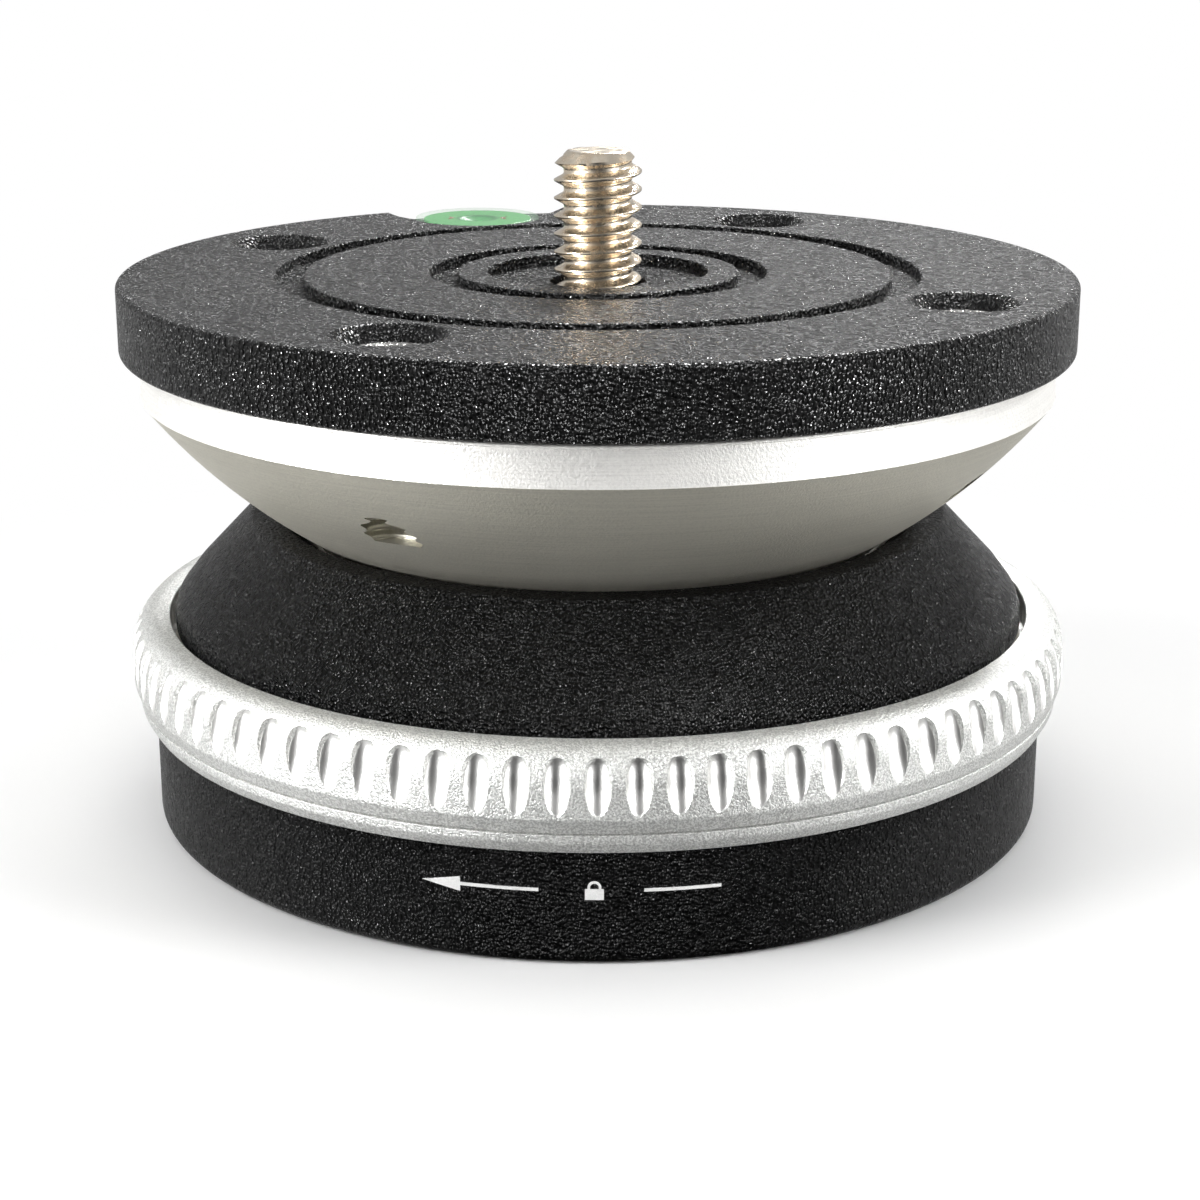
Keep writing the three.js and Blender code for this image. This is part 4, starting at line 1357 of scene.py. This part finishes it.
@dataclass
class Neck:
    """The neck housing: cone, skirt and dish.

    Its shoulder and its bend are radius, height above the skirt's lower edge and fillet. The rim is radius
    and fillet, and the skirt is height and fillet.
    """

    finishes: Finishes
    rim_inside: float = 23.6
    rim: Pair = (25.2, 0.25)
    shoulder: Triple = (29.6, 3.2, 1.6)
    bend: Triple = (30.72, 1.75, 0.9)
    skirt: Pair = (0.9, 0.4)
    dish_radius: float = 41.65
    dish_mouth: float = 23.39
    liner_inside: float = 16.9
    liner_depth: float = 1.1
    wall_radius: float = 28.2
    chamber_radius: float = 23.6
    chamber_roof: float = 12.5
    slot_half: float = 1.3
    slot_lift: float = 0.433
    tap_radius: float = 1.8
    tap_tip: float = 0.6

    def build(self) -> None:
        """Build and dress the housing."""
        span, low = Span.of("neck_housing"), Span.of("upper_slide_washer").top + CLEARANCE
        liner_outside = Span.of("neck_liner").radius + CLEARANCE
        dish = [sphere_arc(self.dish_radius, BOLT_HOLE, self.liner_inside, 24),
                sphere_arc(self.dish_radius + self.liner_depth, self.liner_inside, liner_outside, 8),
                sphere_arc(self.dish_radius, liner_outside, self.dish_mouth, 4)]
        (rim, rim_edge), (skirt_height, skirt_edge) = self.rim, self.skirt
        cone = rounded([
            (self.rim_inside, span.top), (rim, span.top, rim_edge),
            *((radius, low + height, fillet) for radius, height, fillet in (self.shoulder, self.bend)),
            (span.radius, low + skirt_height, skirt_edge), (span.radius, low), (self.wall_radius, low),
            (self.wall_radius, span.bottom), (self.chamber_radius, span.bottom),
            (self.chamber_radius, self.chamber_roof), (BOLT_HOLE, self.chamber_roof)], 8)[1:]
        piece = turned("neck_cone", np.concatenate([*dish, cone]))
        carve(piece, self.cutters(span))
        self.finishes.dress(piece, Slot.NECK_COAT, Body.BASE, ["neck_housing"], sharp_angle=35)

    def cutters(self, span: Span) -> list[Piece]:
        """Shape the three pin slots and the four tapped holes in the wall.

        Args:
            span: Place of the housing.

        Returns:
            The seven cutters.
        """
        low, top = span.bottom - OVERRUN, Span.of("follower_pin_1").middle + self.slot_half + self.slot_lift
        inner, outer, tap = self.chamber_radius - OVERRUN, self.wall_radius + OVERRUN, self.tap_radius
        slots = [radial_block(f"slot_{index}", inner, outer, 2 * self.slot_half, low, top, angle)
                 for index, angle in enumerate(even_angles(3, 90))]
        return slots + [plug(f"tapped_{index}", [(tap, low), (tap, screw.top + CLEARANCE)], screw.centre, 32,
                             self.tap_tip) for index, screw in foot_screws().items()]


@dataclass
class LockRing:
    """The silver lock ring with its flutes and cam grooves.

    The waist is depth in from the wall, height above the ring's foot and fillet, and the bulge is height and
    fillet. The hairline's depths are those of its lower edge, its bottom and its upper edge. The flutes'
    margins are how far their rows and their columns go on above and below them.
    """

    finishes: Finishes
    foot_edge: float = 0.15
    foot_inset: float = 0.85
    waist: Triple = (0.42, 0.75, 0.5)
    hairline: float = 1.42
    hairline_half: float = 0.09
    hairline_edge: float = 0.03
    hairline_depths: Triple = (0.36, 0.58, 0.34)
    bulge: Pair = (2.45, 0.6)
    bulge_top: float = 3.5
    flute_low: float = 2.75
    flute_high: float = 6.4
    flute_peak: float = 0.62
    flute_depth: float = 0.6
    flute_rows: int = 25
    flute_margin: Pair = (0.1, 0.15)
    flute_least: float = 0.05
    cutter_radius: float = 0.95
    shoulder_width: float = 1.9
    shoulder_height: float = 2.5
    shoulder_rows: int = 17
    mouth_radius: float = 31.4
    mouth_depth: float = 1.9
    wall_depth: float = 1.5
    wall_foot: float = 0.3
    cam_depth: float = 2.5
    cam_lead: float = 2.4
    cam_turns: Pair = (-67.6, 35.6)
    cam_rows: int = 25
    entry_turn: float = 33.0
    entry_floor: float = 10.1
    entry_inset: float = 0.01

    ACROSS_SHARES = (-1, -0.86, -0.6, -0.3, 0, 0.3, 0.6, 0.86, 1)
    LAND_SHARES = (0.09, 0.5, 0.91)

    def __post_init__(self) -> None:
        """Read the ring's place from the frame."""
        self.span = Span.of("lock_ring")
        self.low, self.high = self.span.bottom + self.flute_low, self.span.bottom + self.flute_high

    def build(self) -> None:
        """Shape the ring, cut its cam grooves and dress it."""
        piece = self.fluted()
        carve(piece, [self.cam_groove(index, angle) for index, angle in enumerate(even_angles(3, 90))])
        self.finishes.dress(piece, Slot.BLASTED, Body.RING, ["lock_ring"], sharp_angle=38)

    def outline(self) -> np.ndarray:
        """Draw the section: a hairline groove above the foot and a shoulder that is a quarter ellipse.

        Returns:
            Rows of radius and height.
        """
        low, top, wall = self.span.bottom, self.span.top, self.span.radius
        shelf = top - self.mouth_depth
        groove, half, edge = low + self.hairline, self.hairline_half, self.hairline_edge
        under, deepest, over = (wall - depth for depth in self.hairline_depths)
        (waist, waist_height, waist_round), (bulge, bulge_round) = self.waist, self.bulge
        turn = np.linspace(0, np.pi / 2, self.shoulder_rows)
        shoulder = np.column_stack([wall - self.shoulder_width * (1 - np.cos(turn)),
                                    top - self.shoulder_height * (1 - np.sin(turn))])
        foot = rounded([
            (RING_BORE, shelf), (RING_BORE, low, self.foot_edge),
            (wall - self.foot_inset, low, self.foot_edge), (wall - waist, low + waist_height, waist_round),
            (under, groove - half, edge), (deepest, groove),
            (over, groove + half, edge), (wall, low + bulge, bulge_round), (wall, low + self.bulge_top),
            (RING_BORE, low + self.bulge_top)], 6)[:-2]
        mouth = rounded([(wall - self.shoulder_width, top), (self.mouth_radius, top, self.foot_edge),
                         (self.mouth_radius, shelf), (RING_BORE, shelf)], 6)[1:-1]
        return np.concatenate([foot, shoulder, mouth])

    def flute(self, height: np.ndarray) -> np.ndarray:
        """Give the depth of a flute's middle line at each height.

        From the lower end the depth rises as the sine of a quarter turn of the share climbed, to the power
        of 1.3, and from the deepest place it falls as one less a cube to the blunt upper end.

        Args:
            height: The heights.

        Returns:
            The depth at each height.
        """
        share = np.clip((height - self.low) / (self.high - self.low), 0, 1)
        climb = np.clip(share / self.flute_peak, 0, 1)
        fall = np.clip((share - self.flute_peak) / (1 - self.flute_peak), 0, 1)
        return self.flute_depth * np.sin(climb * np.pi / 2) ** 1.3 * (1 - fall ** 3)

    def rows(self) -> tuple[np.ndarray, np.ndarray]:
        """Give the section with the rows that its flutes need, and which of them lie on the wall.

        Returns:
            Rows of radius and height, and a truth value for each.
        """
        outline, more = anticlockwise(self.outline()), self.flute_margin[0]
        wall = ((outline[:, 0] > self.span.radius - self.wall_depth)
                & (outline[:, 1] > self.span.bottom + self.wall_foot))
        start, count = int(np.argmax(wall)), int(np.sum(wall))
        outside = outline[start:start + count]
        extra = np.linspace(self.low - more, self.high + more, self.flute_rows)
        heights = np.unique(np.concatenate([outside[:, 1], extra]).round(4))
        heights = heights[(heights >= outside[0, 1]) & (heights <= outside[-1, 1])]
        middle = np.column_stack([np.interp(heights, outside[:, 1], outside[:, 0]), heights])
        parts = [outline[:start], middle, outline[start + count:]]
        return np.concatenate(parts), np.repeat([False, True, False], [len(part) for part in parts])

    def fluted(self) -> Piece:
        """Turn the section with columns that follow the edges of the flutes.

        At each height a flute is as wide as a round cutter sunk to its depth: half the width is the root of
        twice the cutter's radius times the depth, less the depth squared. Across it the surface rises from
        the depth by the cutter's radius less the root of its square less the distance squared. Between
        flutes the columns share the land that is left.

        Returns:
            The ring, before its cam grooves are cut.
        """
        outline, on_wall = self.rows()
        height, cutter, more = outline[:, 1], self.cutter_radius, self.flute_margin[1]
        depth = np.where(on_wall, self.flute(height), 0)[:, None]
        period = 2 * math.pi * self.span.radius / FLUTES
        half = np.sqrt(2 * cutter * depth - depth ** 2)
        in_zone = on_wall & (height > self.low - more) & (height < self.high + more)
        half = np.where(in_zone[:, None], np.maximum(half, self.flute_least), period / 4)
        across = half * np.array(self.ACROSS_SHARES)
        land = half + (period - 2 * half) * np.array(self.LAND_SHARES)
        rise = cutter - np.sqrt(np.clip(cutter ** 2 - across ** 2, 0, None))
        sink = np.concatenate([np.clip(depth - rise, 0, None), np.zeros_like(land)], axis=1)
        shift = np.concatenate([across, land], axis=1) / self.span.radius
        starts = radians(np.array(even_angles(FLUTES, FRONT)))
        angle = (starts[None, :, None] + shift[:, None, :]).reshape(len(outline), -1)
        points = round_axis(np.tile(outline[:, :1] - sink, (1, FLUTES)), angle, outline[:, 1:])
        return add_mesh("fluted_ring", points, grid_faces(len(outline), angle.shape[1], True, True))

    def cam_groove(self, index: int, pin_angle: float) -> Piece:
        """Shape one sloping groove with its way in from above.

        Its middle falls by the lead in a full turn, and its section is a square that clears the pin.

        Args:
            index: Number of the groove.
            pin_angle: Where its pin stands, in degrees.

        Returns:
            The cutter.
        """
        pin, inner, outer = Span.of("follower_pin_1"), RING_BORE - OVERRUN, RING_BORE + self.cam_depth
        half = (pin.top - pin.bottom) / 2 + CLEARANCE
        turn = np.linspace(*self.cam_turns, self.cam_rows)
        height, direction = pin.middle - self.cam_lead * turn / 360, radians(pin_angle + turn)
        corners = ((inner, -half), (outer, -half), (outer, half), (inner, half))
        groove = swept(f"groove_{index}", np.stack([round_axis(reach, direction, height + lift)
                                                    for reach, lift in corners], axis=1))
        entry = radial_block(f"entry_{index}", inner, outer - self.entry_inset, 2 * half, self.entry_floor,
                             self.span.top - self.mouth_depth + OVERRUN, pin_angle + self.entry_turn)
        work_in(groove, "UNION", [entry])
        return groove


@dataclass
class Foot:
    """The foot cup with its printed marks, bush and screws.

    A print's bearing is degrees off the front. The edges of the bush and the screws are the lower and the
    other ones, and a screw's socket is its radius, its depth and its cone's height.
    """

    finishes: Finishes
    edge: float = 0.8
    top_edge: float = 0.2
    turned_edge: float = 0.1
    floor: float = 2.6
    boss_radius: float = 12.5
    boss_height: float = 5.6
    bush_hole: float = 7.9
    bush_seat: float = 4.1
    bush_radius: float = 7.6
    bush_step: float = 4.4
    bush_edges: Pair = (0.2, 0.15)
    bush_core: float = 2.0
    mouth: tuple[Pair, ...] = ((5.9, -0.5), (5.4, 0.0), (4.0, 1.4))
    thread: Thread = Thread(pitch=25.4 / 16, crest=4.8, root=4.05, end=4.05)
    thread_overrun: float = 1.5
    screw_hole: float = 1.8
    screw_sink: float = 1.3
    screw_mouth: float = 0.1
    screw_shank: float = 1.5
    screw_edges: Pair = (0.12, 0.2)
    screw_socket: Triple = (1.1, 1.3, 0.5)
    notch_angle: float = -8.0
    notch_width: float = 7.2
    notch_height: float = 1.8
    notch_depth: float = 1.6
    mark_height: float = 5.15
    line: float = 0.22
    arrow_half: float = 0.5
    case_half: float = 0.37
    case_drop: float = 0.25
    bow_bearing: float = -0.4
    bow_radii: Pair = (0.44, 0.27)
    bow_height: float = 0.22
    bow_foot: float = 0.1
    print_thickness: float = 0.03

    def build(self) -> None:
        """Build and dress the cup, the bush, the screws and the marks."""
        self.make_cup()
        self.make_bush()
        self.make_screws()
        self.make_marks()

    def make_cup(self) -> None:
        """Turn the cup and cut its notch and screw holes."""
        cup, bush, washer = Span.of("foot_cup"), Span.of("tripod_bush"), Span.of("lower_slide_washer")
        flange, recess, shelf = bush.radius + CLEARANCE, washer.radius + CLEARANCE, washer.bottom - CLEARANCE
        piece = turned("foot_shell", rounded([
            (self.bush_hole, 0, self.turned_edge), (cup.radius, 0, self.edge),
            (cup.radius, cup.top, self.top_edge), (recess, cup.top, self.turned_edge), (recess, shelf),
            (RING_BORE, shelf), (RING_BORE, self.floor), (self.boss_radius, self.floor),
            (self.boss_radius, self.boss_height), (flange, self.boss_height), (flange, self.bush_seat),
            (self.bush_hole, self.bush_seat)], 8))
        carve(piece, [self.notch(cup.radius), *self.screw_holes()])
        self.finishes.dress(piece, Slot.NECK_COAT, Body.BASE, ["foot_cup"])

    def notch(self, wall: float) -> Piece:
        """Shape the notch in the cup's lower edge, a cylinder across the wall.

        Args:
            wall: Radius of the cup.

        Returns:
            The cutter.
        """
        radius = (self.notch_width ** 2 / 4 + self.notch_height ** 2) / (2 * self.notch_height)
        turn = np.linspace(0, 2 * np.pi, SMALL_COLUMNS, endpoint=False)
        inner, outer = wall - self.notch_depth, wall + OVERRUN
        out, size = np.array([[inner, inner, outer, outer], [0, radius, radius, 0]])[:, :, None]
        side, up = size * np.cos(turn), self.notch_height - radius + size * np.sin(turn)
        across, along = on_circle(1, self.notch_angle)
        points = np.stack([out * across - side * along, out * along + side * across, up], axis=-1)
        return face_outwards(add_mesh("notch", points, grid_faces(4, SMALL_COLUMNS, False, True)))

    def screw_holes(self) -> list[Piece]:
        """Shape the four countersunk holes in the cup's floor.

        Returns:
            The four cutters.
        """
        holes = []
        for index, screw in foot_screws().items():
            low, mouth, hole = screw.bottom, screw.radius + CLEARANCE, self.screw_hole
            rows = [(mouth + self.screw_mouth, -OVERRUN), (mouth + self.screw_mouth, self.screw_mouth),
                    (mouth, low), (hole, low + self.screw_sink), (hole, self.floor + OVERRUN)]
            holes.append(plug(f"hole_{index}", rows, screw.centre, 64))
        return holes

    def make_bush(self) -> None:
        """Turn the steel bush and cut its three-eighths thread."""
        bush, core, radius = Span.of("tripod_bush"), self.bush_core, self.bush_radius
        low_edge, edge = self.bush_edges
        piece = turned("threaded_bush", rounded([
            (core, 0), (radius, 0, low_edge), (radius, self.bush_step), (bush.radius, self.bush_step, edge),
            (bush.radius, self.boss_height, edge), (radius, self.boss_height), (radius, bush.top, edge),
            (core, bush.top)]), 192)
        more = self.thread_overrun
        bore = self.thread.wind("bore", -more, bush.top + more, (0, 0), SMALL_COLUMNS)
        carve(piece, [bore, plug("mouth", self.mouth, (0, 0))])
        self.finishes.dress(piece, Slot.STEEL, Body.BASE, ["tripod_bush"], sharp_angle=40)

    def make_screws(self) -> None:
        """Turn the four countersunk foot screws with their hexagon sockets."""
        shank, (head_edge, edge) = self.screw_shank, self.screw_edges
        for index, screw in foot_screws().items():
            low, head = screw.bottom, screw.radius
            piece = turned(f"foot_screw_{index}_fine", rounded([
                (0, low), (head, low, head_edge), (shank, low + head - shank, edge), (shank, screw.top, edge),
                (0, screw.top)]), 64, screw.centre)
            carve(piece, [hexagon_socket(screw, *self.screw_socket)])
            self.finishes.dress(piece, Slot.BLACK_STEEL, Body.BASE, [f"foot_screw_{index}"], sharp_angle=35)

    def bar(self, start: float, end: float, first: float, last: float, drop: float = 0.0) -> list[np.ndarray]:
        """Draw a straight print.

        Args:
            start: Bearing of its left end.
            end: Bearing of its right end.
            first: Half its height on the left.
            last: Half its height on the right.
            drop: How far its middle lies below the marks' height.

        Returns:
            Its lower and its upper line, each as rows of angle and height.
        """
        angle, half = np.linspace(FRONT + start, FRONT + end, 24), np.linspace(first, last, 24)
        return [np.column_stack([angle, self.mark_height - drop + side * half]) for side in (-1, 1)]

    def bow(self, radius: float, wall: float) -> np.ndarray:
        """Draw one line of the padlock's bow, a half circle on two straight legs.

        Args:
            radius: Radius of the half circle.
            wall: Radius of the cup.

        Returns:
            Rows of angle and height.
        """
        turn = np.linspace(0, math.pi, 25)
        angle = FRONT + self.bow_bearing + np.degrees(radius * np.cos(turn) / wall)
        height = self.mark_height + self.bow_height + radius * np.sin(turn)
        foot = self.mark_height + self.bow_foot
        return np.column_stack([np.pad(angle, 1, "edge"), np.pad(height, 1, constant_values=foot)])

    def make_marks(self) -> None:
        """Print the lock arrow, its dash and a small closed padlock on the cup's wall."""
        wall, half = Span.of("foot_cup").radius, self.line / 2
        shapes = {
            "lock_arrow_head": self.bar(-20.0, -15.5, 0, self.arrow_half),
            "lock_arrow_shaft": self.bar(-15.7, -6.6, half, half),
            "lock_dash": self.bar(5.1, 13.8, half, half),
            "padlock_case": self.bar(-1.45, 0.65, self.case_half, self.case_half, self.case_drop),
            "padlock_bow": [self.bow(radius, wall) for radius in self.bow_radii],
        }
        for name, (side, other) in shapes.items():
            piece = strip_on_wall(name, wall, self.print_thickness, side, other)
            self.finishes.dress(piece, Slot.NECK_COAT, Body.BASE, other=self.finishes.print)


@dataclass
class Works:
    """The pieces inside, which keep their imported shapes."""

    finishes: Finishes

    def build(self) -> None:
        """Give each hidden piece its finish."""
        groups = {
            Slot.STEEL: ["puller_plate", "clamp_disc", "clamp_nut", "follower_pin_1", "follower_pin_2",
                         "follower_pin_3"],
            Slot.BLACK_STEEL: ["pull_bolt"],
            Slot.SPRING: ["disc_spring_lower", "disc_spring_upper"],
            Slot.POLYMER: ["neck_liner", "clamp_liner", "lower_slide_washer", "upper_slide_washer"],
        }
        for slot, nodes in groups.items():
            for node in nodes:
                self.finishes.coat_node(node, slot)


@dataclass(frozen=True)
class DarkFront:
    """The unlit side of the room, where the camera stands, and a band of glow low on the walls.

    The sides are bearings off the front in degrees, between which the wall grows brighter or darker. The
    rises are heights on the unit sphere of directions.
    """

    left: Pair = (-34.0, -8.0)
    right: Pair = (15.0, 46.0)
    level: float = 0.025
    wall: float = 0.5
    glow: float = 0.28
    glow_start: Pair = (0.12, 0.22)
    glow_end: Pair = (0.4, 0.55)

    def brightness(self, nodes: Nodes, place: Socket) -> Socket:
        """Give the brightness of a place or direction, from its bearing off the front.

        Args:
            nodes: The tree to build in.
            place: The place or direction.

        Returns:
            The brightness.
        """
        across, along, _ = nodes.split(place)
        bearing = nodes.maths("ARCTAN2", across, nodes.maths("MULTIPLY", along, -1.0))
        left = nodes.spread(bearing, *map(radians, self.left), self.wall, self.level)
        right = nodes.spread(bearing, *map(radians, self.right), self.level, self.wall)
        return nodes.maths("MAXIMUM", left, right)

    def walls(self, nodes: Nodes, direction: Socket, rise: Socket) -> Socket:
        """Give the brightness of the walls in a direction, the glow band included.

        Args:
            nodes: The tree to build in.
            direction: Where the ray goes.
            rise: The direction's height.

        Returns:
            The brightness.
        """
        start = nodes.spread(rise, *self.glow_start, 0.0, self.glow)
        glow = nodes.maths("MULTIPLY", start, nodes.spread(rise, *self.glow_end, 1.0, 0.0))
        return nodes.maths("MAXIMUM", self.brightness(nodes, direction), glow)


@dataclass(frozen=True)
class Lamp:
    """A rectangle of light in metres and watts: a soft window, or a small one that only gloss shows."""

    name: str
    place: Triple
    size: Pair
    power: float
    glint: bool = False


@dataclass
class Studio:
    """Pale floor, soft lamps, the room's light and the camera, in metres but for the floor's rings."""

    lamps: tuple[Lamp, ...] = (
        Lamp("left window", (-0.50, -0.20, 0.40), (0.28, 0.42), 3.0),
        Lamp("right window", (0.52, -0.14, 0.30), (0.22, 0.36), 2.5),
        Lamp("top window", (0.0, 0.22, 0.75), (0.7, 0.5), 2.6),
        Lamp("left glint", (-0.50, -0.06, 0.44), (0.12, 0.16), 3.6, glint=True),
        Lamp("low left glint", (-0.46, -0.28, 0.12), (0.10, 0.10), 6.0, glint=True),
        Lamp("right glint", (0.50, 0.16, 0.34), (0.10, 0.14), 3.6, glint=True),
        Lamp("low right glint", (0.44, -0.26, 0.14), (0.08, 0.10), 2.6, glint=True),
        Lamp("back glint", (0.12, 0.60, 0.40), (0.16, 0.10), 4.0, glint=True),
    )
    lamp_aim: Triple = (0.0, 0.0, 0.02)
    front: DarkFront = DarkFront()
    floor_rings: tuple[float, ...] = (31.0, 60.0, 200.0, 600.0, 3000.0)
    floor_colour: Colour = (0.86, 0.86, 0.86)
    floor_roughness: float = 0.9
    shadow_fade: Pair = (0.033, 0.098)
    fill: float = 0.40
    ceiling: float = 0.7
    ceiling_rise: Pair = (0.93, 0.99)
    lens: float = 73.8
    sensor: float = 36.0
    nearest: float = 0.01
    camera_place: Triple = (0.0, -0.1753, 0.0679)
    camera_tilt: float = 72.99
    camera_turn: float = -0.05

    def build(self) -> None:
        """Set the scene up."""
        scene = bpy.context.scene
        scene.view_settings.view_transform = "Standard"
        self.make_floor()
        self.make_world(scene)
        for lamp in self.lamps:
            self.add_lamp(lamp)
        camera = bpy.data.objects.new("camera", bpy.data.cameras.new("camera"))
        camera.data.lens = self.lens
        camera.data.sensor_width = self.sensor
        camera.data.clip_start = self.nearest
        camera.location = self.camera_place
        camera.rotation_euler = (radians(self.camera_tilt), 0, radians(self.camera_turn))
        scene.collection.objects.link(camera)
        scene.camera = camera

    def add_lamp(self, lamp: Lamp) -> None:
        """Hang a lamp that faces the head.

        Args:
            lamp: The lamp's place, size and power.
        """
        light = bpy.data.lights.new(lamp.name, "AREA")
        light.shape = "RECTANGLE"
        light.size, light.size_y = lamp.size
        light.energy = lamp.power
        holder = bpy.data.objects.new(lamp.name, light)
        holder.location = lamp.place
        holder.visible_glossy = lamp.glint
        holder.visible_diffuse = not lamp.glint
        aim = Vector(self.lamp_aim) - Vector(lamp.place)
        holder.rotation_euler = aim.to_track_quat("-Z", "Y").to_euler()
        bpy.context.scene.collection.objects.link(holder)

    def make_floor(self) -> None:
        """Lay a round floor that is white far off and keeps the head's shadow.

        In reflections it is dark in front. It has a hole where the foot stands on it, so the foot's
        underside is seen from below.
        """
        angle = np.linspace(0, 2 * np.pi, SMALL_COLUMNS, endpoint=False)
        points = round_axis(np.array(self.floor_rings)[:, None], angle, 0.0)
        floor = add_mesh("floor", points, grid_faces(len(points), SMALL_COLUMNS, False, True)[:, ::-1])
        sheet = Sheet("pale floor", Base_Color=self.floor_colour, Roughness=self.floor_roughness)
        far = sheet.add("ShaderNodeVectorMath", operation="LENGTH")
        sheet.link(sheet.place, far.inputs[0])
        share = sheet.spread(far.outputs["Value"], *self.shadow_fade)
        path = sheet.add("ShaderNodeLightPath")
        mirror = path.outputs["Is Glossy Ray"]
        seen = sheet.maths("MAXIMUM", path.outputs["Is Camera Ray"], path.outputs["Is Transmission Ray"])
        white = sheet.add("ShaderNodeEmission")
        sheet.feed(white, "Strength", sheet.pick(mirror, 1.0, self.front.brightness(sheet, sheet.place)))
        mix = sheet.add("ShaderNodeMixShader")
        sheet.link(sheet.maths("MAXIMUM", mirror, sheet.maths("MULTIPLY", share, seen)), mix.inputs[0])
        sheet.link(sheet.shader.outputs["BSDF"], mix.inputs[1])
        sheet.link(white.outputs[0], mix.inputs[2])
        sheet.link(mix.outputs[0], sheet.output.inputs["Surface"])
        floor.data.materials.append(sheet.material)

    def make_world(self, scene: bpy.types.Scene) -> None:
        """Light the room softly.

        Its walls are white to the eye. In reflections they are dark in front but for a glow band low down,
        and the ceiling is bright.

        Args:
            scene: The scene that the world is for.
        """
        world = bpy.data.worlds.new("studio")
        world.use_nodes = True
        sky = Nodes(world.node_tree)
        path = sky.add("ShaderNodeLightPath")
        direction = sky.add("ShaderNodeTexCoord").outputs["Generated"]
        rise = sky.split(direction)[2]
        walls = self.front.walls(sky, direction, rise)
        seen = sky.pick(sky.spread(rise, *self.ceiling_rise), walls, self.ceiling)
        mirror = sky.pick(path.outputs["Is Glossy Ray"], self.fill, seen)
        background = sky.add("ShaderNodeBackground")
        sky.feed(background, "Strength", sky.pick(path.outputs["Is Camera Ray"], mirror, 1.0))
        output = sky.add("ShaderNodeOutputWorld")
        sky.link(background.outputs[0], output.inputs["Surface"])
        scene.world = world


def main() -> None:
    """Build the head and its studio."""
    logging.basicConfig(level=logging.INFO, format="%(name)s: %(message)s")
    finishes = Finishes()
    for part in (Studio(), *(make(finishes) for make in (Platform, Neck, LockRing, Foot, Works))):
        LOG.info("building %s", type(part).__name__)
        part.build()


if __name__ == "__main__":
    main()
